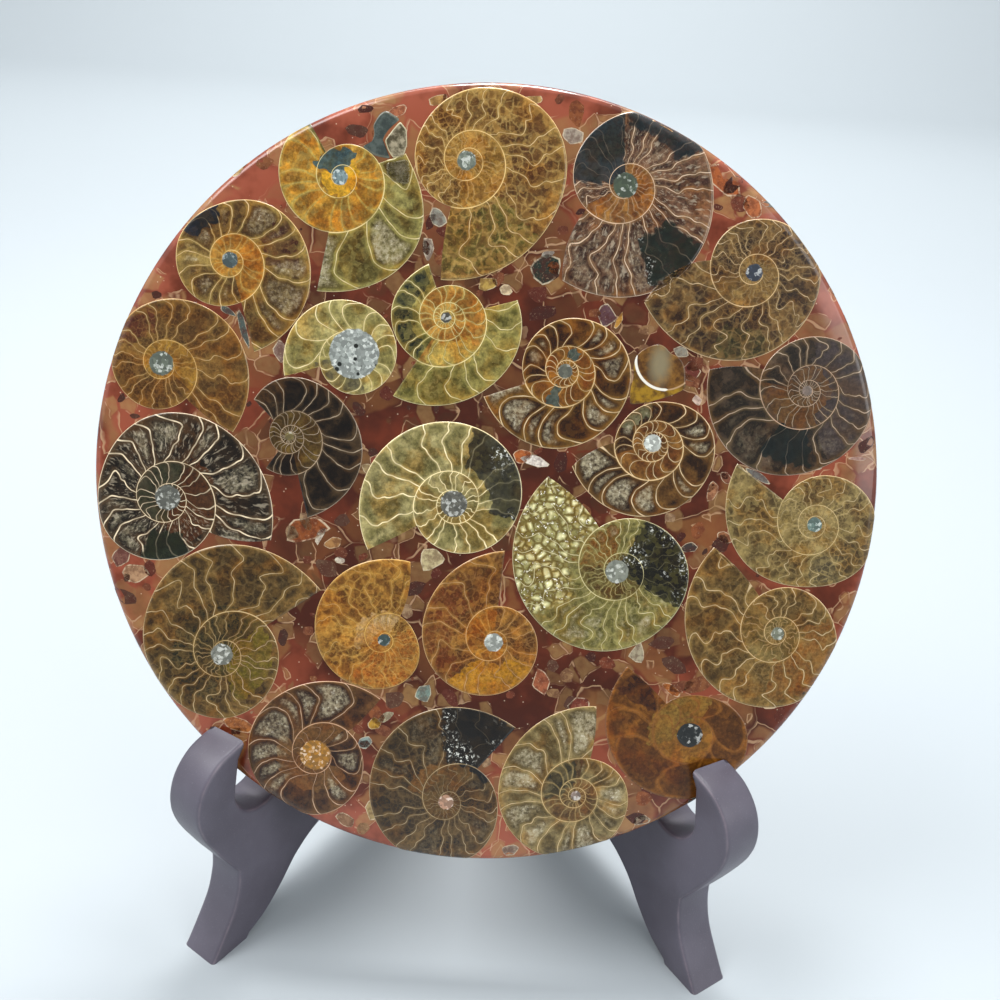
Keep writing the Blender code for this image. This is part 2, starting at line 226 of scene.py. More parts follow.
# ------------------------------------------------------------------- the ammonites
# Twenty-four fossil shells sawn along the plane of the coil, bedded in the resin and
# ground flush with it. Calcite of many colours fills the chambers; the shell's wall and
# the partitions between chambers are thin cream lines, and crystals fill the middle.
STEPS, ACROSS = 260, 22          # points per turn and across a whorl
KNOTS = np.array([0, 60, 120, 180, 240, 300, 360, 480, 600, 720.0])
BED_DEPTH = 4.0                  # how far the shells go into the resin

# Per shell: centre; mouth angle; way it coils back; degrees that the mouth's inner end
# is ahead; radii at KNOTS; broken stretch; partitions per turn; bulge, lobing of the
# partitions; share of honeycomb and of white crystals; half widths of partition and wall.
SHAPES = {
    1: (-41.0, 74.6, 261, 1, 0, (28.1, 25.0, 17.2, 17.3, 15.8, 14.6, 13.5, 10.2, 6.3, 5.0),
        (122, 222), 17, .40, .05, .25, .75, .13, .14),
    2: (-10.3, 80.6, 261, 1, 7, (29.3, 25.6, 23.6, 17.6, 13.6, 12.4, 11.5, 9.0, 6.0, 4.8),
        None, 20, .35, .45, .90, .10, .11, .15),
    3: (28.9, 77.4, 240, 1, 25, (27.5, 26.2, 21.7, 19.5, 15.5, 12.8, 10.0, 7.2, 4.6, 3.4),
        None, 24, .30, .40, .30, .45, .12, .14),
    4: (62.5, 58.7, 199, 1, 30, (28.1, 22.4, 17.8, 15.9, 13.3, 12.0, 10.4, 7.0, 4.6, 3.6),
        None, 20, .35, .55, .70, .15, .10, .17),
    5: (-67.1, 52.9, 287, 1, 0, (23.1, 20.5, 17.3, 13.6, 13.5, 12.8, 10.5, 7.2, 5.1, 4.0),
        None, 17, .40, .10, .20, .55, .12, .14),
    6: (-83.4, 26.4, 319, 1, 11, (24.4, 20.6, 16.5, 13.6, 12.3, 11.7, 10.2, 6.0, 4.3, 3.6),
        None, 20, .35, .30, .40, .15, .11, .14),
    7: (-35.4, 32.0, 201, -1, 3, (18.4, 15.7, 12.5, 10.9, 10.3, 10.0, 9.0, 5.2, 4.4, 4.0),
        None, 16, .55, .04, .05, .20, .13, .15),
    8: (-13.0, 42.5, 239, 1, 0, (23.6, 20.5, 19.0, 16.3, 13.6, 13.7, 12.8, 10.1, 7.4, 6.0),
        (138, 232), 18, .40, .12, .20, .25, .12, .14),
    9: (17.6, 31.3, 201, 1, 0, (21.4, 19.8, 17.4, 16.1, 13.5, 11.6, 10.4, 8.1, 6.4, 4.6),
        None, 17, .60, .04, .00, .8, .14, .19),
    10: (78.7, 30.6, 172, 1, 14, (25.4, 24.2, 19.6, 17.0, 14.8, 12.9, 12.1, 9.2, 7.1, 5.0),
         None, 20, .45, .18, .05, .30, .12, .13),
    11: (41.1, 14.8, 200, 1, 16, (21.2, 19.2, 16.9, 15.0, 10.8, 9.4, 9.8, 8.7, 5.8, 4.9),
         None, 16, .60, .04, .00, .9, .14, .20),
    12: (-81.0, -7.4, 341, 1, 18, (28.2, 23.6, 21.2, 17.8, 18.2, 15.6, 12.8, 9.0, 7.3, 5.0),
         None, 19, .50, .15, .00, .60, .18, .14),
    13: (-50.7, 10.3, 285, 1, 0, (21.2, 19.2, 15.7, 14.5, 11.3, 10.2, 9.8, 7.3, 5.2, 4.3),
         (212, 312), 20, .50, .10, .00, .15, .12, .14),
    14: (-8.2, -4.1, 212, -1, 3, (25.1, 23.0, 20.8, 18.6, 15.4, 12.6, 10.9, 8.3, 5.7, 4.6),
         None, 19, .30, .22, .05, .25, .17, .17),
    15: (34.8, -18.8, 130, 1, 14, (30.4, 26.2, 22.2, 19.2, 18.2, 14.8, 11.8, 7.8, 6.7, 4.0),
         None, 24, .30, .50, .60, .60, .11, .14),
    16: (84.2, -3.2, 146, 1, 0, (25.6, 20.7, 16.4, 16.8, 15.3, 12.8, 10.4, 7.9, 5.8, 4.6),
         None, 18, .35, .50, .90, .10, .12, .13),
    17: (77.8, -32.3, 131, 1, 10, (28.5, 23.4, 20.6, 18.4, 14.8, 12.9, 10.9, 8.1, 5.4, 4.0),
         None, 18, .35, .50, .40, .10, .13, .14),
    18: (-65.9, -47.6, 37, 1, 0, (31.2, 28.5, 21.9, 18.0, 17.1, 15.2, 14.2, 7.8, 5.9, 4.6),
         None, 22, .35, .45, .40, .15, .12, .14),
    19: (-24.0, -40.9, 75, 1, 15, (21.8, 20.2, 17.0, 13.7, 11.5, 8.2, 7.4, 4.6, 2.6, 2.0),
         None, 18, .35, .50, .85, .10, .10, .13),
    20: (4.4, -39.6, 87, 1, 0, (24.3, 20.1, 17.4, 14.4, 12.2, 10.9, 9.7, 6.4, 3.8, 3.0),
         None, 16, .45, .20, .55, .20, .11, .14),
    21: (-40.5, -73.2, 45, 1, 5, (23.2, 19.3, 18.0, 16.7, 16.3, 13.3, 10.7, 6.2, 5.0, 3.8),
         None, 14, .50, .08, .05, .75, .12, .18),
    22: (-5.3, -83.9, 52, 1, 0, (27.6, 25.1, 20.7, 18.2, 17.0, 14.0, 12.4, 6.3, 4.6, 3.4),
         None, 20, .35, .45, .40, .35, .11, .13),
    23: (28.9, -79.8, 82, 1, 9, (25.1, 21.3, 20.2, 18.0, 14.8, 13.3, 10.6, 8.8, 6.2, 4.9),
         None, 18, .40, .10, .10, .80, .11, .13),
    24: (57.5, -61.1, 136, 1, 5, (25.0, 21.2, 18.1, 16.5, 14.7, 11.2, 10.6, 8.0, 5.9, 4.6),
         None, 9, .50, .05, .00, .02, .06, .11),
}
# Per shell: colours of dark and light chambers, chamber corners, walls, the inner coil
# (dark, light), the crystals in the middle and their radius; patches of another mineral
# as (colour, first and last angle, inner and outer radius, kind), where kind 0 is a stain,
# 1 a mineral that hides the lines, 2 bubbly calcite and 3 a mineral set with crystals;
# turn where the inner coil's colours begin; strength of the lines outside and inside it.
MINERAL, BUBBLES, CRYSTALS = 1, 2, 3
LOOKS = {
    1: ("625628", "A09860", "B0A45C", "D0C090", "A07428", "D8A440", "7F8F90", 1.9,
        [("4E6264", 52, 160, 0.5, 6.9, 1), ("D8A832", 160, 412, 0.5, 4.6, 1)], 225, 0.8, 0.12),
    2: ("6A4A24", "A8864A", "B09250", "D0B682", "94702E", "BA904A", "7E8478", 2.3,
        [("5A3A20", -62, 35, 11, 21, 0), ("5F5A28", 252, 318, 12, 27, 0)], 360, 0.7, 0.3),
    3: ("4A3228", "8A6850", "9A7E58", "CDB49A", "84582C", "AC7E40", "56604F", 3,
        [("343C3E", 95, 180, 3, 20, 1), ("2A3234", 28, 90, 13.5, 30, 1),
         ("283028", 288, 326, 13, 25, 3)], 330, 0.85, 0.3),
    4: ("443222", "86693E", "8C7444", "C8AE86", "86693A", "AA8C56", "3E4450", 2.1,
        [("4A4426", 245, 285, 14, 24, 0)], 360, 0.75, 0.3),
    5: ("5E4626", "A08850", "A88E4C", "D0B480", "A06E28", "D09E48", "566262", 1.9,
        [("2A2E38", 105, 150, 9.5, 20, 1), ("4A2018", -5, 42, 9, 17, 0)], 360, 0.8, 0.15),
    6: ("5E4424", "8E6C38", "9A7A3E", "C4A46E", "8E682C", "B8903E", "6E7468", 3,
        [("5E2E20", 95, 155, 8, 16, 0)], 360, 0.6, 0.3),
    7: ("8E8450", "BCB07A", "BCAE70", "DCCCA0", "9A9058", "B8AC74", "9EA29C", 6.2,
        [("5E5848", 195, 290, 5, 10.5, 0)], 360, 0.9, 0.8),
    8: ("66602E", "A89C5E", "AC9E5C", "D6C898", "9A6A2C", "CE9E50", "5E5A50", 1.3,
        [("26302A", 118, 236, 8.5, 20, 0), ("C8A858", 245, 320, 6, 12, 0)], 360, 0.85, 0.5),
    9: ("42280F", "84602C", "98763A", "CDB48A", "7E5020", "A87C38", "707064", 1.8,
        [("58625A", 238, 262, 4, 9.2, 1), ("58625A", 48, 84, 3.2, 6, 1)], 360, 0.9, 0.8),
    10: ("32291F", "665444", "70603E", "B49A84", "6E5030", "5E4A44", "8A7A70", 1.2,
         [("6E4E28", 190, 305, 1.5, 9.5, 0), ("4A4040", -70, 85, 6, 18, 0),
          ("1E2826", 236, 278, 10, 19, 1)], 360, 0.75, 0.7),
    11: ("3A2410", "74552C", "86683A", "CDB48C", "704620", "98703A", "C0C2BA", 2.2,
         [("77755A", 95, 155, 6.5, 12, 0)], 360, 0.9, 0.9),
    12: ("2A2218", "584634", "6A563A", "D8C6A8", "40402C", "56503E", "6E6E66", 3.2,
         [("5A3C24", -90, 62, 3, 12.5, 0), ("2E3628", 246, 292, 9, 18, 1)], 360, 1, 0.8),
    13: ("22180E", "54422C", "62503A", "A8947C", "4E3A1C", "766030", "7A6C44", 1.1,
         [], 360, 0.85, 0.8),
    14: ("7C7448", "B8AC7C", "B8A872", "E2D4AA", "84784A", "B0A274", "6A6860", 3.4,
         [("3C3A30", -12, 78, 9.5, 24, 3)], 360, 1, 0.9),
    15: ("6A6436", "9C9460", "9A8C50", "C8BE94", "5A4220", "5E4E2A", "8E9084", 3,
         [("7A4E1C", 88, 172, 3, 12, 0), ("24221A", -28, 66, 2, 24, 3),
          ("B4AC70", 100, 212, 12.5, 31, 2)], 360, 0.75, 0.4),
    16: ("5E4E30", "988658", "9C8854", "C2AE84", "8E7A4A", "AE9A6A", "6E8078", 1.9,
         [("5A5240", 270, 340, 9, 17, 0)], 360, 0.6, 0.3),
    17: ("5E4A28", "967A48", "9A804A", "C4AC84", "6E6038", "8E7C50", "7E8070", 1.7,
         [("8A6030", -95, 20, 7, 18, 0)], 360, 0.75, 0.35),
    18: ("4A3A20", "84683A", "8E7440", "BEA67C", "46421E", "685A30", "84847A", 2.8,
         [("7A6C22", -75, 40, 3, 13, 0), ("34321E", 60, 262, 3, 13, 0)], 365, 0.7, 0.45),
    19: ("785224", "B48840", "B48E44", "CCAA68", "98662C", "B48044", "4A5A58", 1.6,
         [("C8AC82", 55, 200, 2.5, 7.6, 0), ("A8682A", -130, 25, 3, 15, 0)], 360, 0.35, 0.06),
    20: ("684420", "AA7E3C", "AA8040", "C2A070", "945E1C", "C68E34", "A8AAA2", 2.4,
         [("B8861E", 225, 330, 6, 18, 0), ("74401E", 120, 222, 11, 20, 0)], 360, 0.4, 0.12),
    21: ("40281A", "705030", "7C5C34", "BE9C7E", "7A5830", "704E2C", "A87A30", 4,
         [("7A5A34", 150, 330, 3, 10, 0)], 360, 0.8, 0.4),
    22: ("40321F", "705A38", "786038", "AE9A78", "70522A", "6A5430", "B08C74", 2,
         [("24211E", 30, 95, 11, 27, 3), ("7A5426", 100, 165, 6, 11, 0)], 360, 0.6, 0.3),
    23: ("645430", "A09068", "9A8450", "C0A87E", "5E4628", "785830", "8A7A70", 1.3,
         [("3A3422", 92, 188, 3, 9.7, 0)], 360, 0.8, 0.35),
    24: ("64401A", "966628", "8C5E2A", "7E5A34", "8C6428", "A47836", "2C2E2E", 3.3,
         [("8A6E34", 60, 200, 3.3, 11, 0), ("4A2A18", 118, 152, 11, 24, 0)], 360, 0.2, 0.1),
}
STREAKED = (3, 12)       # shells whose chambers hold long fibrous crystals


def coil_radius(radii, turn):
    """Radius of the coil at an angle back from the mouth: the logarithm of the radius
    runs through the measured ones as a cubic Hermite curve, and every turn inside the
    second repeats it, smaller by a constant ratio."""
    logs = np.log(np.asarray(radii))
    slopes = np.gradient(logs, KNOTS)
    ratio = radii[6] / radii[9]
    inner = np.maximum(0.0, np.ceil((turn - 720.0) / 360.0))
    at = turn - 360.0 * inner
    i = np.clip(np.searchsorted(KNOTS, at, side="right") - 1, 0, len(KNOTS) - 2)
    h = KNOTS[i + 1] - KNOTS[i]
    t = np.maximum((at - KNOTS[i]) / h, -0.8)
    value = ((2 * t**3 - 3 * t**2 + 1) * logs[i] + (t**3 - 2 * t**2 + t) * h * slopes[i]
             + (3 * t**2 - 2 * t**3) * logs[i + 1] + (t**3 - t**2) * h * slopes[i + 1])
    return np.exp(value) / ratio ** inner


def hashed(number, seed):
    """Fixed pseudo-random number from 0 to 1 for each whole number."""
    return np.modf(np.abs(np.sin(number * 12.9898 + seed * 78.233) * 43758.5453))[0]


def between(value, low, high, soft):
    """1 inside low to high, 0 outside, with soft flanks."""
    rise = np.clip((value - low) / soft + 0.5, 0, 1)
    fall = np.clip((high - value) / soft + 0.5, 0, 1)
    return rise * fall


def coil_fields(key, turn, across):
    """Place and markings on the coil at an angle back from the mouth and a share across
    the whorl (0 at its inner wall, 1 at its outer). A partition lies wherever the chamber
    count, turn / spacing, bulged towards the mouth in mid-whorl and waved by the lobes of
    the suture, is whole; distances in mm come from dividing by its slope."""
    (cx, cy, mouth, way, _, radii, _, parts, bulge, lobes,
     honeycomb, crystals, part_w, wall_w) = SHAPES[key]
    core, patches, coil_from, ink_out, ink_in = LOOKS[key][7:]
    outer, inner = coil_radius(radii, turn), coil_radius(radii, turn + 360.0)
    rho = inner + across * (outer - inner)
    angle = np.radians(mouth + way * turn)
    x, y = cx + rho * np.cos(angle), cy + rho * np.sin(angle)

    gap = 360.0 / parts
    count = turn / gap + 0.22 * np.sin(turn / gap * 1.7 + key) + 0.13 * np.sin(
        turn / gap * 3.1 + 2.0 * key)
    mid = 1.0 - np.abs(2.0 * across - 1.0) ** 2.4
    wave = lobes * (0.40 * np.sin(2 * np.pi * 1.5 * across + key + turn / 71.0)
                    + 0.20 * np.sin(2 * np.pi * 3.0 * across + 1.3 * key + turn / 37.0)
                    + 0.05 * np.sin(2 * np.pi * 6.3 * across + turn / 29.0))
    level = count + bulge * mid + wave
    along = np.gradient(level, axis=0) / np.maximum(
        np.radians(np.gradient(turn, axis=0)) * rho, 1e-6)
    cross = np.gradient(level, axis=1) / np.maximum(np.gradient(rho, axis=1), 1e-6)
    slope = np.maximum(np.hypot(along, cross), 0.02)
    part = np.sin(np.pi * level) / (np.pi * slope)
    wall = np.minimum(across, 1.0 - across) * (outer - inner)
    room = np.abs(level - np.round(level)) / slope
    inside = room * wall / np.maximum(room + wall, 1e-6)

    chamber = np.floor(level)
    tone = 0.15 + 0.7 * hashed(chamber, key) + 0.25 * np.sin(x * 0.9 + 2 * np.sin(y * 0.7))
    about = np.degrees(angle)
    fine = np.clip(rho / 13.0, 0.5, 1.0)
    fields = {"part": part / (part_w * fine), "wall": wall / (wall_w * fine),
              "inside": inside / np.clip(rho / 16.0, 0.3, 1.0),
              "tone": np.clip(tone, 0, 1), "coil": (turn > coil_from) * 1.0,
              "ink": np.where(turn > coil_from, ink_in, ink_out) * (0.75 + 0.25 * np.sin(
                  1.1 * x + 2.0 * np.sin(0.8 * y + key))),
              "plain": 1.0 + 0.0 * x,
              "flow_x": np.radians(turn) * 6.0, "flow_y": np.log(rho) * 6.0,
              "core": core - rho,
              "honey": honeycomb * np.clip(0.9 + 0.7 * np.sin(x * 0.35 + key) * np.sin(
                  y * 0.41 + key), 0.2, 1) * np.where(turn > coil_from, 0.55, 1.0),
              "druse": crystals * (hashed(chamber, key + 31) > 0.3) * np.clip(
                  inside / 0.9 - 0.35, 0, 1) * (turn <= coil_from),
              "froth": 0.0 * x, "specks": 0.0 * x}
    for n in range(3):
        fields[f"patch{n}"] = 0.0 * x
    ragged = 0.9 * np.sin(x * 1.9 + 1.7 * np.sin(y * 1.3)) + 0.5 * np.sin(y * 3.1 + x)
    for n, (_, first, last, low, high, kind) in enumerate(patches):
        hides = 1.0 if kind in (MINERAL, CRYSTALS) else 0.0
        turned = np.mod(about - first, 360.0)
        arc = np.radians(np.minimum(turned, 360.0)) * rho
        span = np.radians(last - first) * rho
        there = (between(arc + ragged * 0.5, 0.0, span, 0.8)
                 * between(rho + 0.4 * ragged, low, high, 0.8))
        fields[f"patch{n}"] = there
        fields["ink"] = fields["ink"] * (1.0 - 0.85 * hides * there)
        fields["honey"] = fields["honey"] * (1.0 - hides * there)
        fields["plain"] = fields["plain"] * (1.0 - hides * there)
        fields["inside"] = fields["inside"] + 3.0 * hides * there
        fields["froth"] = np.maximum(fields["froth"], (kind == BUBBLES) * there)
        fields["specks"] = np.maximum(fields["specks"], (kind == CRYSTALS) * there)
        fields["druse"] = fields["druse"] * (1.0 - (kind > 0) * there)
    return x, y, fields


def coil_mesh(key):
    """The sawn face of one shell: a grid of turn by across from the mouth to the middle,
    with the slanted corner of the mouth as a wedge of its own, less the broken stretch and
    what the slab's edge cuts off, and a disc of crystals in the middle. The face follows
    the slab's rounded edge; its outline goes down into the resin and is closed below."""
    radii, ahead, broken = SHAPES[key][5], SHAPES[key][4], SHAPES[key][6]
    core = LOOKS[key][7]
    pace = 360.0 / STEPS
    turns = np.arange(0, 6 * STEPS + 1) * pace
    last = max(int(np.argmax(coil_radius(radii, turns) < 0.85 * core)), STEPS)
    grids = [(np.repeat(turns[:last + 1, None], ACROSS + 1, 1),
              np.repeat(np.linspace(0, 1, ACROSS + 1)[None, :], last + 1, 0))]
    lead = int(round(ahead / pace))
    if lead:
        share = np.linspace(0.0, 1.0, lead + 1)[:, None]
        grids.append((np.repeat(-lead * pace * (1.0 - share), ACROSS + 1, 1),
                      share * np.linspace(0, 1, ACROSS + 1)[None, :]))
    all_points, all_faces, all_fields, total = [], [], {}, 0
    for turn, across in grids:
        x, y, fields = coil_fields(key, turn, np.maximum(across, 1e-6))
        quads = grid_faces(*turn.shape)
        if broken:
            middle = turn.ravel()[quads].mean(1)
            quads = quads[~((middle > broken[0]) & (middle < broken[1]))]
        r = np.hypot(x, y)
        quads = quads[(r.ravel()[quads] < SLAB_R - 0.4).any(1)]
        pull = np.minimum(1.0, (SLAB_R - 0.35) / np.maximum(r, 1e-6))
        x, y, r = x * pull, y * pull, r * pull
        all_points.append(in_frame(x, y, edge_depth(r)).reshape(-1, 3))
        all_faces.append(quads + total)
        total += x.size
        for name, values in fields.items():
            all_fields.setdefault(name, []).append(values.ravel())
    fields = {name: np.concatenate(values) for name, values in all_fields.items()}
    return np.concatenate(all_points), np.concatenate(all_faces), fields


def core_disc(key):
    """Round patch of crystals over the middle of the coil: rings of a disc whose rim
    wanders by a tenth of its radius, domed so that its rim dips just below the face."""
    cx, cy = SHAPES[key][:2]
    turn = np.linspace(0.0, 2.0 * np.pi, 49)[:-1]
    share = np.linspace(0.02, 1.0, 9)[:, None]
    wander = 0.07 * np.sin(3 * turn + key) + 0.05 * np.sin(5 * turn + 2.0 * key)
    rim = LOOKS[key][7] * (1.0 + wander)
    x, y = cx + share * rim * np.cos(turn), cy + share * rim * np.sin(turn)
    depth = -0.02 + 0.05 * (share > 0.99) + 0.0 * x
    points = in_frame(x, y, depth).reshape(-1, 3)
    flat = {"part": 9.0, "wall": 9.0, "inside": 9.0, "tone": 0.5, "core": 5.0}
    return points, grid_faces(9, 48, closed=True), flat


def sawn_shell(key):
    """Mesh of one sawn shell, welded, with its sides and underside."""
    cx, cy = SHAPES[key][:2]
    points, faces, fields = coil_mesh(key)
    disc, disc_faces, flat = core_disc(key)
    fields = {name: np.concatenate([values, np.full(len(disc), flat.get(name, 0.0))])
              for name, values in fields.items()}
    faces = np.concatenate([faces, disc_faces + len(points)])
    mesh = mesh_from(f"ammonite_{key:02d}_sawn", np.concatenate([points, disc]), faces, fields)
    bm = bmesh.new()
    bm.from_mesh(mesh)
    bmesh.ops.remove_doubles(bm, verts=bm.verts, dist=2e-6)
    bmesh.ops.delete(bm, geom=[v for v in bm.verts if not v.link_faces], context="VERTS")
    centre = in_frame(np.array(cx), np.array(cy), np.array(0.0))
    hole = [e for e in bm.edges if e.is_boundary and max(
        np.linalg.norm(np.array(v.co) - centre) for v in e.verts) < 0.9 * LOOKS[key][7] * MM]
    bmesh.ops.holes_fill(bm, edges=hole)
    rim = [e for e in bm.edges if e.is_boundary]
    sunk = bmesh.ops.extrude_edge_only(bm, edges=rim)["geom"]
    for vert in (g for g in sunk if isinstance(g, bmesh.types.BMVert)):
        depth = float(np.dot(np.array(vert.co) - FACE_CENTRE * MM, INWARDS))
        vert.co = np.array(vert.co) + INWARDS * (BED_DEPTH * MM - depth)
    bmesh.ops.holes_fill(bm, edges=[e for e in bm.edges if e.is_boundary])
    bmesh.ops.recalc_face_normals(bm, faces=bm.faces)
    bm.to_mesh(mesh)
    bm.free()
    return mesh


def cut_calcite(key):
    """Fossil shell sawn and polished: calcite clouded by clay and iron, in grains of
    about 1 mm; patches of other minerals; milky crystals lining some chambers; cream
    shell walls and partitions; grey-white crystals in the middle. IOR 1.55, between
    calcite's 1.49 and 1.66."""
    dark, light, corner, wall, coil_a, coil_b, core, core_r, patches = LOOKS[key][:9]
    honeycomb = SHAPES[key][10]
    mat, shader, put = new_material(f"polished_fossil_calcite_{key:02d}", 0.2, 1.55)
    where = put("TexCoord", out="Object")
    field = {n: put("Attribute", attribute_name=n, out="Fac") for n in (
        "part", "wall", "inside", "tone", "coil", "core", "honey", "druse", "ink", "plain",
        "froth", "specks", "patch0", "patch1", "patch2", "flow_x", "flow_y")}
    flow = put("CombineXYZ", field["flow_x"], field["flow_y"])
    cloud = put("TexNoise", where, 1000.0 / 4.5, 3.0, 0.5)
    fine = put("TexNoise", where, 1000.0 / 0.9, 4.0, 0.65)
    both = put("Math", cloud, fine, operation="ADD")
    ripple = put("Math", fine, 0.5, operation="SUBTRACT")
    # each chamber runs from its light margin to its darker depth
    deep = put("Math", put("Math", both, 1.0, operation="SUBTRACT"), 0.8, field["inside"],
               operation="MULTIPLY_ADD")
    tone = put("Math", cloud, put("MapRange", deep, 0.15, 0.85, 0.0, 0.45),
               operation="SUBTRACT")
    tone = put("Math", field["tone"], 0.6, tone, operation="MULTIPLY_ADD")
    tone = put("MapRange", tone, 0.2, 0.8)
    base = put("Mix", tone, dark, light)
    base = put("Mix", field["coil"], base, put("Mix", tone, coil_a, coil_b))
    for n, (colour, *_, kind) in enumerate(patches):
        ragged = put("Math", put("Math", cloud, 0.5, operation="SUBTRACT"), 0.9,
                     field[f"patch{n}"], operation="MULTIPLY_ADD")
        clouding = 0.1 if kind in (MINERAL, CRYSTALS) else 0.3
        mineral = put("Mix", put("Math", tone, clouding), colour, light)
        base = put("Mix", put("MapRange", ragged, 0.35, 0.65), base, mineral)
    kinds = {patch[5] for patch in patches}
    soft = put("Math", ripple, 0.6, field["inside"], operation="MULTIPLY_ADD")
    base = put("Mix", put("MapRange", soft, 0.75, 0.1, 0.0, 0.65), base, corner)
    # honeycomb of small lobes where the saw ran beside the plane of the coil
    cells = put("TexVoronoi", bent(put, flow, 0.9, 0.5), 1.2, feature="DISTANCE_TO_EDGE")
    lobe = put("Math", put("MapRange", cells, 0.06, 0.38), field["honey"])
    lace = put("Math", fine, 0.08, cells, operation="MULTIPLY_ADD")
    lace = put("Math", put("MapRange", lace, 0.17, 0.06), field["honey"])
    base = put("Mix", put("Math", lobe, put("Math", cloud, 1.1)), base, dark)
    base = put("Mix", put("Math", lace, 0.7), base, put("Mix", 0.35, corner, wall))
    shade = put("Math", cloud, 0.5, fine, operation="MULTIPLY_ADD")
    shade = put("Mix", put("MapRange", shade, 0.5, 1.0), "A0A0A0", "FFFFFF")
    base = put("Mix", 0.9, base, shade, blend_type="MULTIPLY")
    # honey-coloured iron stain in cloudy areas
    stain = put("TexNoise", where, 1000.0 / 8.0, 3.0, 0.55)
    stain = put("MapRange", stain, 0.46, 0.62, 0.0, 0.6)
    base = put("Mix", stain, base, "FFD488", blend_type="MULTIPLY")
    crumb = put("TexNoise", where, 1000.0 / 0.45, 3.0, 0.7)
    crumbly = 0.1 + 0.2 * honeycomb
    base = put("Mix", put("MapRange", crumb, 0.46, 0.34, 0.0, crumbly), base, dark)
    base = put("Mix", put("Math", put("MapRange", crumb, 0.55, 0.67),
                          put("Math", field["plain"], crumbly)), base, corner)
    # the mosaic of calcite grains, each turned its own way and so lighter or darker
    mosaic = put("TexVoronoi", bent(put, where, 900.0, 0.0008), 1000.0 / 1.3, out="Color")
    grain = put("SeparateColor", mosaic).node.outputs
    mottle = 0.16 + 0.24 * honeycomb
    base = put("Mix", put("MapRange", grain["Red"], 0.35, 1.0, 0.0, mottle), base, dark)
    base = put("Mix", put("Math", put("MapRange", grain["Green"], 0.55, 1.0),
                          put("Math", field["plain"], mottle)), base, light)
    # milky crystals lining the chambers, with glints
    sparkle = put("TexNoise", where, 1000.0 / 0.8, 3.0, 0.7)
    frost = put("Math", field["druse"], put("Math", both, 1.2, -0.3, operation="MULTIPLY_ADD"))
    frost = put("MapRange", frost, 0.15, 1.0)
    base = put("Mix", put("Math", frost, put("MapRange", fine, 0.18, 0.74)), base, "A69D84")
    base = put("Mix", put("Math", put("Math", frost, 0.5),
                          put("MapRange", sparkle, 0.56, 0.70)), base, "E6E0D0")
    if key in STREAKED:
        along = put("Mapping", bent(put, flow, 0.8, 0.9), None, None, (1.7, 0.5, 1.0))
        fibre = put("TexNoise", along, 2.0, 4.0, 0.6)
        fibre = put("Math", put("MapRange", fibre, 0.52, 0.64),
                    put("Math", put("MapRange", field["inside"], 0.2, 0.8), field["plain"]))
        outer = put("Math", 1.0, field["coil"], operation="SUBTRACT")
        base = put("Mix", put("Math", fibre, put("Math", outer, 0.4)), base, "C4B8A2")
    # bubbly calcite: pale beads with brown between them, and bright specks painted on as
    # highlights
    if BUBBLES in kinds:
        bead = put("TexVoronoi", bent(put, where, 400.0, 0.0012), 1000.0 / 2.3,
                   feature="DISTANCE_TO_EDGE")
        pale = put("Math", put("MapRange", bead, 0.06, 0.42),
                   put("MapRange", cloud, 0.36, 0.52))
        brown = put("MapRange", bead, 0.20, 0.03, 0.0, 0.7)
        base = put("Mix", put("Math", field["froth"], brown), base, "5E4A1E")
        base = put("Mix", put("Math", field["froth"], pale), base, "DCD6AC")
        # painted highlights: bright specks over the bubbly calcite
        base = put("Mix", put("Math", field["froth"], put("MapRange", sparkle, 0.60, 0.68)),
                   base, "F2F0E4")
    # crystals set in dark mineral
    if CRYSTALS in kinds:
        cluster = put("MapRange", put("TexNoise", where, 1000.0 / 7.0, 2.0, 0.55), 0.48, 0.66)
        glint = put("Math", cluster, put("MapRange", sparkle, 0.55, 0.63))
        base = put("Mix", put("Math", field["specks"], glint), base, "D0D0C8")
    # partitions and shell wall, with a painted shadow as a dark band beside each partition
    beside = put("Math", ripple, 0.5, field["part"], operation="MULTIPLY_ADD")
    beside = put("Math", beside, operation="ABSOLUTE")
    # painted shadow: a dark band beside each partition line
    painted_shadow_band = put("Math", put("MapRange", beside, 3.2, 2.0, 0.0, 0.6), field["ink"])
    base = put("Mix", put("Math", painted_shadow_band, put("MapRange", crumb, 0.40, 0.55)), base, dark)
    line = put("MapRange", beside, 1.25, 0.6)
    base = put("Mix", put("Math", line, field["ink"]), base, put("Mix", 0.15, wall, "F6EEDA"))
    shell = put("Math", ripple, 0.25, field["wall"], operation="MULTIPLY_ADD")
    shell = put("Math", put("MapRange", shell, 1.3, 0.7), put("MapRange", cloud, 0.1, 0.6))
    base = put("Mix", shell, base, wall)
    # crystals in the middle
    facet = put("SeparateColor", put("TexVoronoi", where, 1000.0 / 0.8, out="Color"))
    middle = put("Mix", put("MapRange", facet, 0.2, 0.9), "3A3C3A", core)
    bright = put("MapRange", put("Math", facet, fine, operation="ADD"), 1.25, 1.5)
    middle = put("Mix", bright, middle, "E4E4DE")
    middle = put("Mix", 0.55, middle, core)
    # a wide middle has pits between its crystals; their shade is painted in as dark spots
    if core_r > 5.0:
        pit_shade = put("TexVoronoi", where, 1000.0 / 2.6)
        middle = put("Mix", put("MapRange", pit_shade, 0.26, 0.18), middle, "2C2E2A")
    within = put("Math", field["core"], ripple, operation="ADD")
    base = put("Mix", put("MapRange", within, -0.15, 0.15), base, middle)
    # the polish deepens the dark calcite and brings up the light
    base = put("VectorMath", put("Gamma", base, 1.2), 1.44, operation="SCALE")
    mat.node_tree.links.new(base, shader.inputs["Base Color"])
    return mat


for key in SHAPES:
    add_piece(f"ammonite_{key:02d}_sawn", sawn_shell(key), cut_calcite(key),
              [f"ammonite_{key:02d}"])

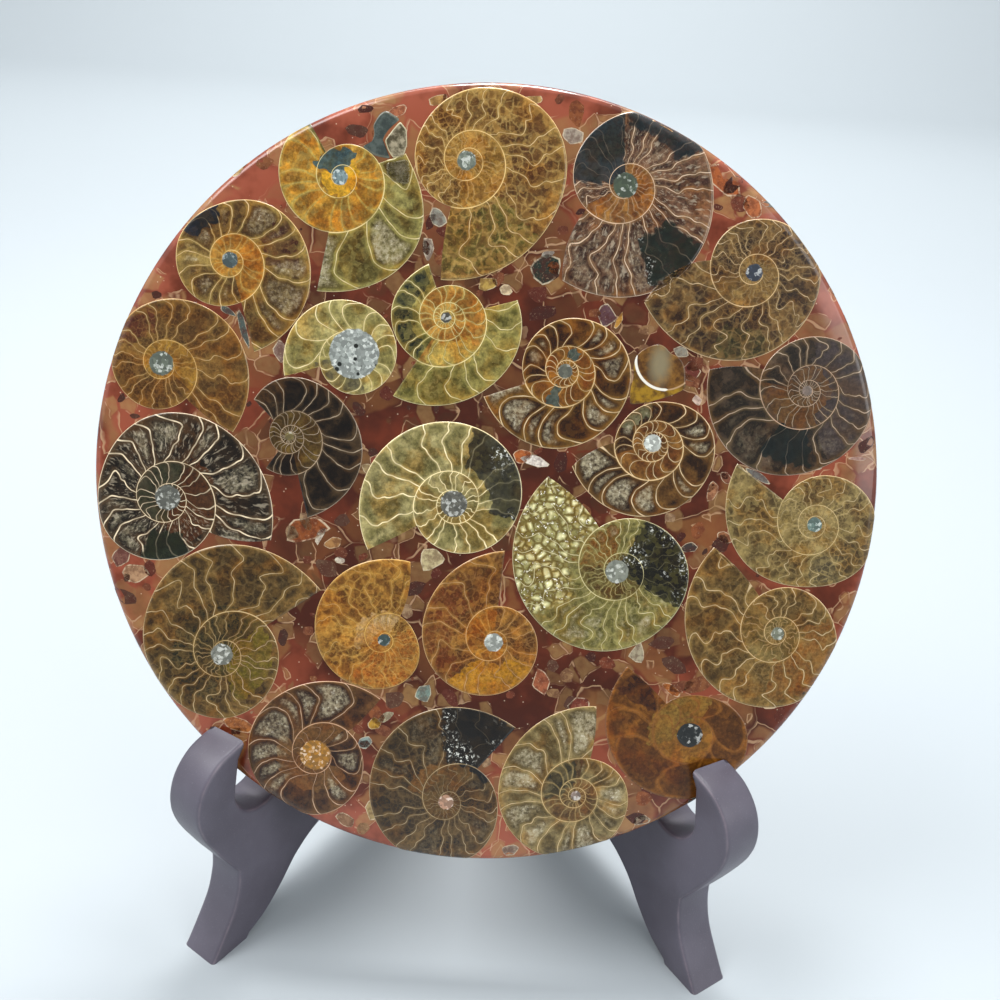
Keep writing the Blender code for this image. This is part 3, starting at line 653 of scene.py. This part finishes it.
# ---------------------------------------------------------------- the shell fragment
# A broken piece of chambered shell set between the ammonites, brown translucent calcite
# with a pale cloudy middle. A bold white wall curves across it.
INLAY_DEPTH = 1.5
FRAGMENT = np.array([
    (34.4, 24.1), (38.5, 24.8), (42.0, 26.0), (45.0, 27.2), (48.1, 29.0), (47.9, 31.0),
    (47.6, 33.4), (47.0, 35.4), (45.8, 36.7), (43.5, 37.6), (42.3, 39.0), (40.6, 39.7),
    (38.1, 38.9), (36.2, 37.7), (34.9, 36.1), (34.6, 33.0), (34.9, 31.2), (34.3, 28.0)])


def closed_curve(corners, count):
    """Points along a closed polygon whose corners are lightly rounded: the polygon is
    sampled evenly and then averaged with its neighbours three times."""
    ring = np.vstack([corners, corners[:1]])
    along = np.concatenate([[0.0], np.cumsum(np.hypot(*np.diff(ring, axis=0).T))])
    at = np.linspace(0.0, along[-1], count + 1)[:-1]
    curve = np.stack([np.interp(at, along, ring[:, 0]), np.interp(at, along, ring[:, 1])], 1)
    for _ in range(3):
        curve = 0.25 * np.roll(curve, 1, 0) + 0.5 * curve + 0.25 * np.roll(curve, -1, 0)
    return curve


def inlay(name, rim, rings, fields=None):
    """Flat inlay bounded by a closed curve: rings of the curve shrunk to its middle make
    the face, and the rim goes down into the resin to an underside at INLAY_DEPTH."""
    middle = rim.mean(0)
    share = np.linspace(0.02, 1.0, rings)
    xy = middle + share[:, None, None] * (rim - middle)
    depth = edge_depth(np.hypot(xy[..., 0], xy[..., 1]))
    xy = np.concatenate([xy, rim[None], (middle + 0.02 * (rim - middle))[None]])
    depth = np.concatenate([depth, np.full((2, len(rim)), INLAY_DEPTH)])
    attributes = fields(xy.reshape(-1, 2)) if fields else {}
    attributes["edge"] = np.repeat(np.concatenate([share, [1.0, 0.0]]), len(rim))
    mesh = mesh_from(name, in_frame(xy[..., 0], xy[..., 1], depth).reshape(-1, 3),
                     grid_faces(rings + 2, len(rim), closed=True), attributes)
    return closed_up(mesh)


def fragment_fields(xy):
    """Distances in mm that mark the piece: from the white wall, an arc of a circle from
    the left edge round to the bottom right, and outwards from the pale middle."""
    x, y = xy.T
    arc = np.hypot(x - 42.6, (y - 35.8) / 0.98) - 7.55
    beyond = np.maximum(0.0, y - 36.2) * 0.4 + np.maximum(0.0, x - 43.2) * 0.6
    return {"arc": arc, "white": np.abs(arc) + beyond, "thin": np.abs(arc),
            "middle": np.hypot(x - 41.2, (y - 34.8) / 1.9)}


def fragment_calcite():
    """Brown calcite, cloudy olive-grey in the middle of the chamber, amber outside the
    wall; the wall itself is white aragonite."""
    mat, shader, put = new_material("polished_brown_calcite", 0.2, 1.55)
    where = put("TexCoord", out="Object")
    field = {n: put("Attribute", attribute_name=n, out="Fac")
             for n in ("arc", "white", "thin", "middle")}
    cloud = put("TexNoise", where, 1000.0 / 2.5, 4.0, 0.6)
    base = put("Mix", put("MapRange", cloud, 0.35, 0.7), "4A2C12", "8E6226")
    pale = put("Math", field["middle"], cloud, operation="ADD")
    base = put("Mix", put("MapRange", pale, 4.6, 1.2, 0.0, 0.9), base, "8C8062")
    outside = put("Mix", put("MapRange", cloud, 0.4, 0.65), "A07A1E", "5E4016")
    base = put("Mix", put("MapRange", field["arc"], -0.1, 0.1), base, outside)
    base = put("Mix", put("MapRange", field["thin"], 0.28, 0.12), base, "B8946A")
    base = put("Mix", put("MapRange", field["white"], 0.42, 0.26), base, "F2ECDC")
    mat.node_tree.links.new(base, shader.inputs["Base Color"])
    return mat


add_piece("shell_fragment_cut", inlay("shell_fragment_cut", closed_curve(FRAGMENT, 96), 26,
                                      fragment_fields),
          fragment_calcite(), ["shell_fragment"])

# ----------------------------------------------------------------------- the chips
# Crumbs of shell, calcite and sandstone scattered between the ammonites before the resin
# was poured and ground flush with it, from 1 to 10 mm across.
SHARD_COLOURS = ("6E3C26", "5E2C1E", "84502E", "7E4A2E", "8E6A46", "523628", "A08260",
                 "42281E", "8A4E2A", "5E4230", "743A24", "3E2018")
# The larger ones: centre, half length, half width, turn in degrees, colour.
LARGE_CHIPS = (
    (-13.0, -18.5, 3.6, 3.2, 20, "C2B184"), (8.3, 9.3, 2.6, 2.0, 10, "B0602E"),
    (11.6, 8.2, 3.4, 1.5, -8, "F0E6D8"), (-13.0, -54.6, 2.6, 1.9, 60, "7C9286"),
    (-27.6, -68.8, 2.0, 1.6, 40, "8C9C94"), (42.0, -40.2, 2.7, 2.1, 80, "A89C80"),
    (15.2, 88.2, 3.4, 2.4, -15, "A59684"), (65.0, 75.5, 2.6, 0.9, 10, "56645F"),
    (-22.6, -61.6, 2.6, 1.1, 35, "B4AC8A"), (-25.4, -63.6, 1.9, 1.7, 0, "B68A30"),
    (-45.5, -13.2, 5.6, 3.4, 20, "8A4A22"), (-41.8, -14.6, 0.9, 2.7, -20, "DCCFB8"),
    (-89.0, -27.6, 3.0, 3.6, 70, "B28A66"), (-92.5, -23.5, 3.0, 2.4, 30, "7A5044"),
    (-66.5, 75.6, 2.2, 2.8, -30, "A8843E"), (-61.0, -66.2, 4.4, 2.0, -12, "AA6834"),
    (75.6, -49.8, 4.6, 1.8, -28, "B47632"), (10.9, 56.0, 3.8, 3.5, 40, "222F26"),
    (11.2, 59.6, 1.8, 0.8, 20, "A8A496"), (-3.2, 51.4, 3.0, 1.7, 20, "B4944A"),
    (1.4, 50.2, 1.6, 1.4, -50, "DEC79C"), (27.0, 45.8, 2.4, 3.0, 20, "5E4246"),
    (30.0, 44.6, 0.7, 2.1, -25, "BE8A3A"), (49.3, 33.4, 1.9, 2.8, 5, "6A3226"),
    (46.2, 38.0, 2.0, 1.5, -20, "8C8676"), (51.4, 26.4, 1.5, 1.1, -50, "D4B8A6"),
    (-63.4, 36.8, 5.4, 0.9, -72, "4C5650"), (-67.4, 40.6, 2.4, 0.9, -30, "4C5650"),
    (-53.6, 31.2, 2.0, 3.2, 15, "8C7466"), (-37.0, -58.2, 1.6, 1.2, 30, "8A9A90"),
    (-45.8, 64.6, 2.0, 2.6, 10, "9A6A5E"), (-52.4, 75.4, 2.6, 2.0, 20, "9C4A34"),
    (-16.6, 66.6, 2.4, 1.8, -60, "8E8C7E"), (-18.4, 59.0, 1.4, 3.4, 5, "A89C8A"),
    (68.6, 8.2, 4.6, 1.0, -28, "6E6E68"), (78.2, 12.2, 7.2, 1.3, -8, "7E8474"),
    (93.0, 14.4, 2.4, 0.5, 2, "B08A7C"), (46.8, -57.4, 2.4, 2.0, 30, "6E3A28"),
    (38.6, -49.6, 3.6, 2.0, 60, "6A4028"), (51.6, -49.0, 3.0, 1.2, -40, "A86028"),
    (27.6, -55.2, 3.4, 2.6, 20, "7A3A28"), (17.4, -49.2, 2.6, 3.2, 0, "A05A3A"),
    (-38.6, -16.4, 2.4, 1.6, 30, "A87A48"), (-36.4, -20.6, 1.2, 1.0, 0, "E0D4BC"),
    (-30.2, 3.4, 2.2, 1.4, -20, "A08A60"), (-28.8, 5.8, 1.6, 1.2, 40, "8E4A34"),
    (66.0, -4.6, 3.4, 2.4, 10, "7E4426"), (61.6, -8.0, 2.6, 1.6, -20, "94603E"),
    (57.4, 3.6, 1.6, 2.8, -10, "A8724E"), (60.6, 7.2, 1.4, 2.0, 30, "7A4A34"),
    (52.6, -11.4, 2.2, 1.4, 10, "3C3430"), (-52.0, -60.8, 1.4, 1.0, 30, "E2D8C0"),
    (83.6, 56.2, 1.6, 1.0, 30, "7E544A"), (89.0, 50.0, 1.2, 2.0, 10, "8A4A3A"),
    (36.8, 92.2, 3.0, 1.2, -25, "C08A46"), (52.6, 80.4, 5.4, 3.2, -38, "A8582A"),
    (60.4, 74.4, 3.2, 2.2, -50, "B8683A"), (4.8, 96.0, 2.6, 1.0, 5, "C09A58"),
    (-27.6, 91.0, 2.6, 1.4, 25, "B06A48"), (-18.0, 94.4, 2.8, 1.2, 12, "B88A4C"),
    (60.2, -79.4, 2.0, 1.2, 30, "55605A"), (64.0, -72.0, 2.2, 0.9, -40, "4C5452"),
    (47.0, -85.4, 2.4, 1.4, 10, "9A8A72"), (12.6, -96.0, 2.6, 1.6, 5, "8C7A68"),
    (-31.6, -90.8, 3.0, 1.6, -18, "8E6A4C"), (-24.6, -87.6, 1.6, 3.2, 15, "A8905E"),
    (-53.4, -75.0, 2.8, 1.2, -40, "5C6A62"), (20.4, -92.8, 1.4, 2.0, 20, "968C76"),
)
# The slate-grey angular chip where the first ammonite's shell is broken away, and two
# chambers of that shell that lie loose beside it.
SLATE_CHIP = np.array([(-33.6, 87.2), (-32.0, 90.2), (-30.6, 91.1), (-26.9, 89.2),
                       (-28.9, 87.6), (-30.4, 85.6), (-31.2, 83.8), (-30.2, 81.7),
                       (-28.7, 79.7), (-32.8, 80.2), (-36.1, 82.2), (-33.6, 83.3),
                       (-33.0, 85.5)])
LOOSE_CHAMBERS = (
    np.array([(-27.0, 88.7), (-25.3, 86.9), (-25.0, 83.3), (-25.8, 80.4), (-28.2, 79.9),
              (-29.6, 81.7), (-30.5, 84.0), (-28.4, 87.0)]),
    np.array([(-29.8, 78.7), (-27.8, 79.2), (-24.6, 79.9), (-23.9, 77.2), (-24.2, 74.1),
              (-27.8, 74.3), (-29.6, 76.1)]))


def shard_rims(centres, half_long, half_wide, turned, seeds):
    """Outlines of shards, 16 points each: the convex polygon cut by six lines whose
    distance from the middle varies, r = least of distance / cos(angle from the line's
    normal), stretched to the shard's length and width and turned."""
    angle = np.linspace(0.0, 2.0 * np.pi, 17)[:-1]
    lines = np.arange(6)[None, :]
    facing = lines * np.pi / 3.0 + 0.8 * hashed(lines + 7.0 * seeds[:, None], 3)
    away = 0.72 + 0.28 * hashed(lines + 5.0 * seeds[:, None], 9)
    slant = np.cos(angle[None, :, None] - facing[:, None, :])
    r = np.min(np.where(slant > 0.15, away[:, None, :] / np.maximum(slant, 0.15), 9.0), 2)
    r = np.minimum(r, 1.25)
    x, y = r * np.cos(angle) * half_long[:, None], r * np.sin(angle) * half_wide[:, None]
    c, s = np.cos(turned)[:, None], np.sin(turned)[:, None]
    return np.stack([centres[:, :1] + x * c - y * s, centres[:, 1:] + x * s + y * c], -1)


def free_room(xy):
    """Distance in mm from points to the nearest ammonite's outline, measured along the
    ray from its coil's middle and so at least the true one; negative inside."""
    room = np.full(len(xy), 99.0)
    for cx, cy, mouth, way, _, radii, broken, *_ in SHAPES.values():
        dx, dy = xy[:, 0] - cx, xy[:, 1] - cy
        turn = np.mod(way * (np.degrees(np.arctan2(dy, dx)) - mouth), 360.0)
        reach = coil_radius(radii, turn)
        if broken:
            cut = (turn > broken[0]) & (turn < broken[1])
            reach = np.where(cut, coil_radius(radii, turn + 360.0), reach)
        room = np.minimum(room, np.hypot(dx, dy) - reach)
    return room


def scattered_shards(count):
    """Places, sizes and turns of the small shards: a fixed scatter of points over the
    slab, kept where they fall in the resin, each as large as the gap there lets it be."""
    n = np.arange(count)
    r = (SLAB_R - 2.0) * np.sqrt(np.mod(0.5 + n * 0.7548776662, 1.0))
    a = 2.0 * np.pi * np.mod(n * 0.5698402910, 1.0)
    xy = np.stack([r * np.cos(a), r * np.sin(a)], 1)
    room = np.minimum(free_room(xy), 1.4 * (SLAB_R - 0.6 - r))
    keep = room > 0.35
    size = np.clip(room[keep], 0.4, 2.6) * (0.45 + 0.75 * hashed(n[keep], 5))
    return (xy[keep], size * (0.8 + 0.7 * hashed(n[keep], 6)), size * 0.75,
            np.pi * hashed(n[keep], 7), n[keep])


def shard_mesh(name, rims, colours, outline):
    """Many inlays in one mesh: each is a middle point, its rim on the face, the same rim
    1.2 mm down and a middle point below, closed all round, with one colour per shard; the
    attribute edge rises from 0 in the middle to outline at the rim."""
    count, ring = rims.shape[:2]
    middle = rims.mean(1, keepdims=True)
    xy = np.concatenate([middle, rims, rims, middle], 1)
    r = np.hypot(xy[..., 0], xy[..., 1])
    xy = xy * np.minimum(1.0, (SLAB_R - 0.4) / r)[..., None]
    depth = edge_depth(np.hypot(xy[..., 0], xy[..., 1])) + 0.02
    depth[:, ring + 1:] = 1.2
    points = in_frame(xy[..., 0], xy[..., 1], depth).reshape(-1, 3)
    k = np.arange(ring)
    n = (k + 1) % ring
    top = np.stack([0 * k, 1 + k, 1 + n], 1)
    low = np.stack([0 * k + 2 * ring + 1, 1 + ring + n, 1 + ring + k], 1)
    sides = np.concatenate([np.stack([1 + k, 1 + ring + k, 1 + n], 1),
                            np.stack([1 + n, 1 + ring + k, 1 + ring + n], 1)])
    one = np.concatenate([top, low, sides])
    faces = (one[None] + (np.arange(count) * (2 * ring + 2))[:, None, None]).reshape(-1, 3)
    edge = np.zeros((count, 2 * ring + 2))
    edge[:, 1:-1] = outline
    mesh = mesh_from(name, points, faces, {"edge": edge.ravel()})
    tint = mesh.color_attributes.new("tint", "FLOAT_COLOR", "CORNER")
    shade = np.repeat(np.array([linear(c) for c in colours]), 3 * len(one), 0)
    tint.data.foreach_set("color", shade.astype(np.float32).ravel())
    mesh.polygons.foreach_set("use_smooth", np.zeros(len(faces), bool))
    return closed_up(mesh)


def chip_stone():
    """Ground crumbs of calcite, shell and sandstone under the same polish as the resin:
    each has its own colour, mottled by grain and darker where it runs under the resin."""
    mat, shader, put = new_material("ground_shell_chips", 0.2, 1.55)
    where = put("TexCoord", out="Object")
    tint = put("VertexColor", layer_name="tint")
    cloud = put("TexNoise", where, 1000.0 / 1.8, 4.0, 0.65)
    base = put("Mix", put("MapRange", cloud, 0.62, 0.38), tint, put("Mix", 0.6, tint, "4A1C12"))
    grain = put("TexNoise", where, 1000.0 / 0.5, 3.0, 0.7)
    base = put("Mix", put("MapRange", grain, 0.58, 0.70, 0.0, 0.3), base, "D8B48C")
    edge = put("Attribute", attribute_name="edge", out="Fac")
    rind = put("Math", put("MapRange", edge, 0.86, 0.93),
               put("MapRange", cloud, 0.35, 0.6, 0.0, 0.8))
    base = put("Mix", rind, base, "D6C2A2")
    mat.node_tree.links.new(base, shader.inputs["Base Color"])
    return mat


stone = chip_stone()
large = np.array([row[:5] for row in LARGE_CHIPS])
rims = shard_rims(large[:, :2], large[:, 2], large[:, 3], np.radians(large[:, 4]),
                  np.arange(len(large)) + 0.5)
add_piece("large_chips", shard_mesh("large_chips", rims, [row[5] for row in LARGE_CHIPS],
                                   1.0),
          stone)
xy, half_long, half_wide, turned, seeds = scattered_shards(480)
picks = (hashed(seeds, 11) * len(SHARD_COLOURS)).astype(int)
add_piece("small_chips", shard_mesh("small_chips", shard_rims(
    xy, half_long, half_wide, turned, seeds.astype(float)),
    [SHARD_COLOURS[i] for i in picks], 0.0), stone)


def plain_calcite(name, dark, light, outline):
    """Fine-grained calcite of one piece, clouded from dark to light, polished, with its
    shell's wall as a pale outline of the given strength."""
    mat, shader, put = new_material(name, 0.2, 1.55)
    where = put("TexCoord", out="Object")
    edge = put("Attribute", attribute_name="edge", out="Fac")
    cloud = put("TexNoise", where, 1000.0 / 2.0, 4.0, 0.65)
    base = put("Mix", put("MapRange", cloud, 0.4, 0.65), dark, light)
    base = put("Mix", put("MapRange", edge, 0.88, 0.94, 0.0, outline), base, "C4B892")
    mat.node_tree.links.new(base, shader.inputs["Base Color"])
    return mat


add_piece("slate_chip", inlay("slate_chip", closed_curve(SLATE_CHIP, 72), 12),
          plain_calcite("polished_slate_grey_calcite", "38403C", "545C56", 0.15))
chamber = plain_calcite("polished_smoky_calcite", "4E4632", "A89C80", 0.9)
for n, corners in enumerate(LOOSE_CHAMBERS):
    add_piece(f"loose_chamber_{n + 1}", inlay(f"loose_chamber_{n + 1}",
                                              closed_curve(corners, 72), 12),
              chamber)

# ------------------------------------------------------------------------ the stand
# Two boards of moulded ABS, 12 mm thick, coloured a dark purple-brown with a little
# metallic powder. The mould leaves a fine grain; the rounded edges are paler, partly wear
# and partly a painted sheen.
BOARD_T, BOARD_OPEN = 12.0, math.radians(34.6)     # thickness; angle from front to back
FOOT = np.array([66.7, -56.8])                     # x and y of the front foot
NOTCH = (20.4, 53.2, 8.8)                          # middle along and up the board; radius
REST_S, REST_RISE, REST_TOP = 7.1, 0.43, 140.0     # the rest is s = REST_S + REST_RISE z
BODY_END = 113.5
HINGE_S = (FOOT[0] + BOARD_T / 2.0 * math.cos(BOARD_OPEN)) / math.sin(BOARD_OPEN)
HINGE_Y = FOOT[1] + HINGE_S * math.cos(BOARD_OPEN) + BOARD_T / 2.0 * math.sin(BOARD_OPEN)
KNUCKLE_LEVELS, KNUCKLE_R, PIN_R, GAP = (6.0, 26.0, 48.0, 68.0), 7.0, 1.6, 0.3
FINGER_END, FINGER_SUNK = HINGE_S - 3.2, 0.06
EDGE = 1.3                                         # rounding of the boards' edges


def smooth_through(points, steps):
    """Catmull-Rom curve through the points, with steps spans between neighbours."""
    p = np.asarray(points, float)
    p = np.vstack([2 * p[0] - p[1], p, 2 * p[-1] - p[-2]])
    t = (np.arange(steps) / steps)[None, :, None]
    a, b, c, d = p[:-3, None], p[1:-2, None], p[2:-1, None], p[3:, None]
    curve = 0.5 * (2 * b + (c - a) * t + (2 * a - 5 * b + 4 * c - d) * t**2
                   + (3 * b - a - 3 * c + d) * t**3)
    return np.vstack([curve.reshape(-1, 2), p[-2]])


def board_outline(fingers):
    """Side view of a board as (s, z), s along the board from the front foot to the
    hinge: leg, scroll, lip, round notch, straight rest, horn, back edge with the hinge's
    fingers, back foot and arch. The fingers end inside the barrels' walls."""
    leg = smooth_through([(-0.5, 0.0), (4.2, 7.0), (8.3, 14.0), (10.4, 21.0), (10.9, 26.4)], 8)
    scroll = smooth_through([(10.9, 26.4), (5.2, 36.5), (0.4, 46.5), (-0.9, 54.5),
                             (1.4, 62.0), (7.0, 67.2), (15.2, 69.4)], 10)
    lip = np.array([(15.6, 68.2), (13.4, 64.6)])
    start, end = math.radians(172.0), -math.atan(REST_RISE)
    angle = start + (2.0 * math.pi + end - start) * np.linspace(0.0, 1.0, 41)
    notch = np.stack([NOTCH[0] + NOTCH[2] * np.cos(angle), NOTCH[1] + NOTCH[2] * np.sin(angle)], 1)
    top = REST_S + REST_RISE * REST_TOP
    horn = smooth_through([(top, REST_TOP), (top + 4.2, REST_TOP + 5.2),
                           (top + 10.6, REST_TOP + 3.4), (top + 14.6, REST_TOP - 3.0),
                           (84.0, 118.0), (88.5, 100.0), (97.0, 84.0), (106.0, 77.0),
                           (BODY_END, 74.5)], 8)
    edge = [p for low, high in reversed(fingers) for p in (
        (BODY_END, high - FINGER_SUNK), (FINGER_END, high - FINGER_SUNK),
        (FINGER_END, low + FINGER_SUNK), (BODY_END, low + FINGER_SUNK))]
    arch = smooth_through([(97.0, 0.0), (93.0, 8.0), (84.0, 16.5), (70.0, 22.5), (55.0, 24.0),
                           (42.0, 22.0), (33.0, 17.0), (26.0, 9.5), (19.5, 3.8), (12.0, 0.0)], 7)
    return np.vstack([leg[:-1], scroll, lip, notch, horn, edge, [(BODY_END, 0.0)], arch[:-1],
                      [(12.0, 0.0)]])


def inset(outline, by):
    """Outline moved inwards along the mean normal of its two sides at every point; the
    sole stays at z = 0 and the hinge's edges are left alone."""
    ahead = np.roll(outline, -1, 0) - outline
    ahead /= np.maximum(np.hypot(*ahead.T), 1e-9)[:, None]
    mean = ahead + np.roll(ahead, 1, 0)
    mean /= np.maximum(np.hypot(*mean.T), 0.35)[:, None]
    moved = outline + by * np.stack([mean[:, 1], -mean[:, 0]], 1)
    moved[:, 1] = np.where(outline[:, 1] < 0.01, outline[:, 1], moved[:, 1])
    return np.where(outline[:, :1] > BODY_END - 2.0, outline, moved)


def on_board(side, s, z, depth):
    """Point of a board in the row frame: side 1 at the right, -1 at the left; depth from
    the inner face outwards."""
    return np.stack([side * (FOOT[0] - s * math.sin(BOARD_OPEN) + depth * math.cos(BOARD_OPEN)),
                     FOOT[1] + s * math.cos(BOARD_OPEN) + depth * math.sin(BOARD_OPEN),
                     z + 0.0 * s], -1)


def planed(points):
    """Scroll tips planed off flush with the slab's face: points that would be inside the
    slab near its face come forward to 0.3 mm before it."""
    local = points - FACE_CENTRE
    depth = local[:, 1] * math.cos(LEAN) - local[:, 2] * math.sin(LEAN)
    up = local[:, 1] * math.sin(LEAN) + local[:, 2] * math.cos(LEAN)
    near = ((points[:, 2] > 60.0) & (depth > -0.3) & (depth < 8.0)
            & (np.hypot(local[:, 0], up) < SLAB_R + 0.5))
    shift = np.where(near, -0.3 - depth, 0.0)[:, None]
    return points + shift * np.array([0.0, math.cos(LEAN), -math.sin(LEAN)])


def knuckle(low, high):
    """Upright hinge barrel with the pin's bore: a rectangle turned about the hinge's
    axis, with its rims eased by 0.4 mm."""
    turn = np.linspace(0.0, 2.0 * np.pi, 49)[:-1]
    e = 0.4
    profile = np.array([(PIN_R + GAP, low), (KNUCKLE_R - e, low), (KNUCKLE_R, low + e),
                        (KNUCKLE_R, high - e), (KNUCKLE_R - e, high), (PIN_R + GAP, high),
                        (PIN_R + GAP, low)])
    points = np.stack([profile[:, :1] * np.cos(turn), HINGE_Y + profile[:, :1] * np.sin(turn),
                       np.repeat(profile[:, 1:], 48, 1)], -1)
    return points.reshape(-1, 3), grid_faces(7, 48, closed=True)


def board_mesh(name, side, fingers):
    """One board: its outline carried from the inner face to the outer, drawn in along a
    quarter circle at both edges, capped with the outline itself; and its barrels."""
    outline = board_outline(fingers)
    bend = np.linspace(0.0, np.pi / 2.0, 5)
    draw = EDGE * (1.0 - np.sin(bend))
    level = EDGE * (1.0 - np.cos(bend))
    draws = np.concatenate([draw, draw[::-1]])
    levels = np.concatenate([level, BOARD_T - level[::-1]])
    rings = [on_board(side, *inset(outline, d).T, t) for d, t in zip(draws, levels)]
    points = planed(np.concatenate(rings))
    faces = grid_faces(len(rings), len(outline), closed=True)
    # rings across each rounded edge, 0 at the faces and 1 mid-edge: where the boards go paler,
    # partly wear, partly painted sheen
    edge_wear_and_sheen = 1.0 - np.abs(np.linspace(-1, 1, 5))
    edge = np.concatenate([edge_wear_and_sheen, edge_wear_and_sheen])[:, None] + 0.0 * outline[None, :, 0]
    mesh = mesh_from(name, points * MM, faces, {"edge_wear_and_sheen": edge.ravel()})
    bm = bmesh.new()
    bm.from_mesh(mesh)
    bmesh.ops.holes_fill(bm, edges=[e for e in bm.edges if e.is_boundary])
    for low, high in fingers:
        barrel, quads = knuckle(low, high)
        verts = [bm.verts.new(p * MM) for p in barrel]
        for quad in quads:
            bm.faces.new([verts[i] for i in quad]).smooth = True
    bmesh.ops.remove_doubles(bm, verts=bm.verts, dist=1e-7)
    bmesh.ops.triangulate(bm, faces=[f for f in bm.faces if len(f.verts) > 4])
    bmesh.ops.recalc_face_normals(bm, faces=bm.faces)
    bm.to_mesh(mesh)
    bm.free()
    mesh.set_sharp_from_angle(angle=math.radians(38.0))
    return mesh


def moulded_abs():
    """Dark purple-brown ABS with a little metallic powder, moulded with a fine grain: a
    soft satin sheen, pin-point glints, and paler rounded edges, partly wear and partly a
    painted sheen."""
    mat, shader, put = new_material("moulded_abs_purple_brown", 0.42, 1.52)
    where = put("TexCoord", out="Object")
    edge_wear_and_sheen = put("Attribute", attribute_name="edge_wear_and_sheen", out="Fac")
    grain = put("TexNoise", where, 1000.0 / 0.45, 3.0, 0.7)
    cloud = put("TexNoise", where, 1000.0 / 18.0, 3.0, 0.55)
    base = put("Mix", put("MapRange", cloud, 0.3, 0.7), "524D58", "5E5965")
    base = put("Mix", put("MapRange", grain, 0.60, 0.74, 0.0, 0.45), base, "86828E")
    # paler rounded edges, patchy: partly wear, partly a painted sheen
    wear_and_sheen_noise = put("Math", put("TexNoise", where, 1000.0 / 4.0, 4.0, 0.55), 0.3, operation="ADD")
    wear_and_sheen_mask = put("MapRange", put("Math", edge_wear_and_sheen, wear_and_sheen_noise), 0.45, 0.95, 0.0, 0.5)
    base = put("Mix", wear_and_sheen_mask, base, "8A7C84")
    mat.node_tree.links.new(base, shader.inputs["Base Color"])
    bump = put("Bump", 0.25, 0.0002, None, grain)
    mat.node_tree.links.new(bump, shader.inputs["Normal"])
    return mat


plastic = moulded_abs()
FIRST, LOW, HIGH, LAST = KNUCKLE_LEVELS
add_piece("stand_left_moulded", board_mesh("stand_left_moulded", -1,
                                           [(FIRST, LOW - GAP), (HIGH + GAP, LAST)]),
          plastic, ["stand_left"])
add_piece("stand_right_moulded", board_mesh("stand_right_moulded", 1, [(LOW, HIGH)]),
          plastic, ["stand_right"])

# -------------------------------------------------------------------- the hinge pin
# Drawn steel wire, pushed through the barrels from above; only its ends show.
mat, shader, _ = new_material("drawn_steel_wire", 0.35, 1.5, Metallic=1.0)
shader.inputs["Base Color"].default_value = linear("A9ABAE")
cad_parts["hinge_pin"].data.materials.clear()
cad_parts["hinge_pin"].data.materials.append(mat)

# ------------------------------------------------------------------ floor and light
# A plain pale table top that sweeps up behind, soft boxes, and a bright room that is
# darker in front, where the polished face looks.
REACH = 60.0                     # metres of table top in front and to each side
rise = np.linspace(0.0, np.pi / 2.0, 25)
profile = np.vstack([[(-REACH, 0.0)], np.stack([2.2 + np.sin(rise), 1.0 - np.cos(rise)], 1),
                     [(3.2, 3.0)]])
points = np.stack([np.repeat([[-REACH, REACH]], len(profile), 0),
                   np.repeat(profile[:, :1], 2, 1), np.repeat(profile[:, 1:], 2, 1)], -1)
mesh = mesh_from("table_top", points.reshape(-1, 3), grid_faces(len(profile), 2))
mat, shader, _ = new_material("pale_table_top", 0.6, 1.5)
shader.inputs["Base Color"].default_value = linear("A8AFB3")
mesh.materials.append(mat)
floor = bpy.data.objects.new("table_top", mesh)
scene.collection.objects.link(floor)


def soft_box(name, place, aim, size, power):
    """Square area light at a place, turned to face a point."""
    light = bpy.data.lights.new(name, "AREA")
    light.shape, light.size, light.energy = "SQUARE", size, power
    lamp = bpy.data.objects.new(name, light)
    lamp.location = place
    way = np.array(aim) - np.array(place)
    flat = math.hypot(way[0], way[1])
    lamp.rotation_euler = (math.atan2(flat, -way[2]), 0.0, math.atan2(-way[0], way[1]))
    lamp.visible_camera = False
    scene.collection.objects.link(lamp)


soft_box("window", (-0.55, -0.15, 0.95), (0, 0, 0.12), 0.5, 5.6)
soft_box("fill", (0.7, -0.7, 0.6), (0, 0, 0.12), 0.6, 3.2)
soft_box("ceiling_lamp", (0.0, 0.30, 1.0), (0, 0, 0.2), 0.3, 8.0)
soft_box("backdrop_lamp", (0.0, 1.2, 2.2), (0, 3.0, 0.6), 1.5, 84.0)
world = bpy.data.worlds.new("room")
world.use_nodes = True
put = partial(add_node, world)
towards = put("VectorMath", put("TexCoord", out="Generated"), (0.0, -0.98, 0.18),
              operation="DOT_PRODUCT")
sky = world.node_tree.nodes["Background"]
room = put("Mix", put("MapRange", towards, 0.62, 0.94), "E6EAEE", "7E8286")
world.node_tree.links.new(room, sky.inputs["Color"])
sky.inputs["Strength"].default_value = 1.18
scene.world = world
scene.view_settings.view_transform = "Standard"

# ------------------------------------------------------------------------ camera
# 37.4 mm lens, 0.27 m in front of the slab and above it, looking 27 degrees down.
PITCH, YAW, ROLL = 0.4725, 0.01178, 0.07265
CAMERA_AT = (0.000734, -0.253654, 0.251477)
ahead = np.array([math.sin(YAW) * math.cos(PITCH), math.cos(YAW) * math.cos(PITCH),
                  -math.sin(PITCH)])
side = np.array([math.cos(YAW), -math.sin(YAW), 0.0])
above = np.cross(side, ahead)
side, above = (side * math.cos(ROLL) + above * math.sin(ROLL),
               above * math.cos(ROLL) - side * math.sin(ROLL))
lens = bpy.data.cameras.new("camera")
lens.lens, lens.sensor_width = 37.44, 36.0
camera = bpy.data.objects.new("camera", lens)
camera.matrix_world = Matrix((
    *((side[n], above[n], -ahead[n], CAMERA_AT[n]) for n in range(3)), (0, 0, 0, 1)))
scene.collection.objects.link(camera)
scene.camera = camera
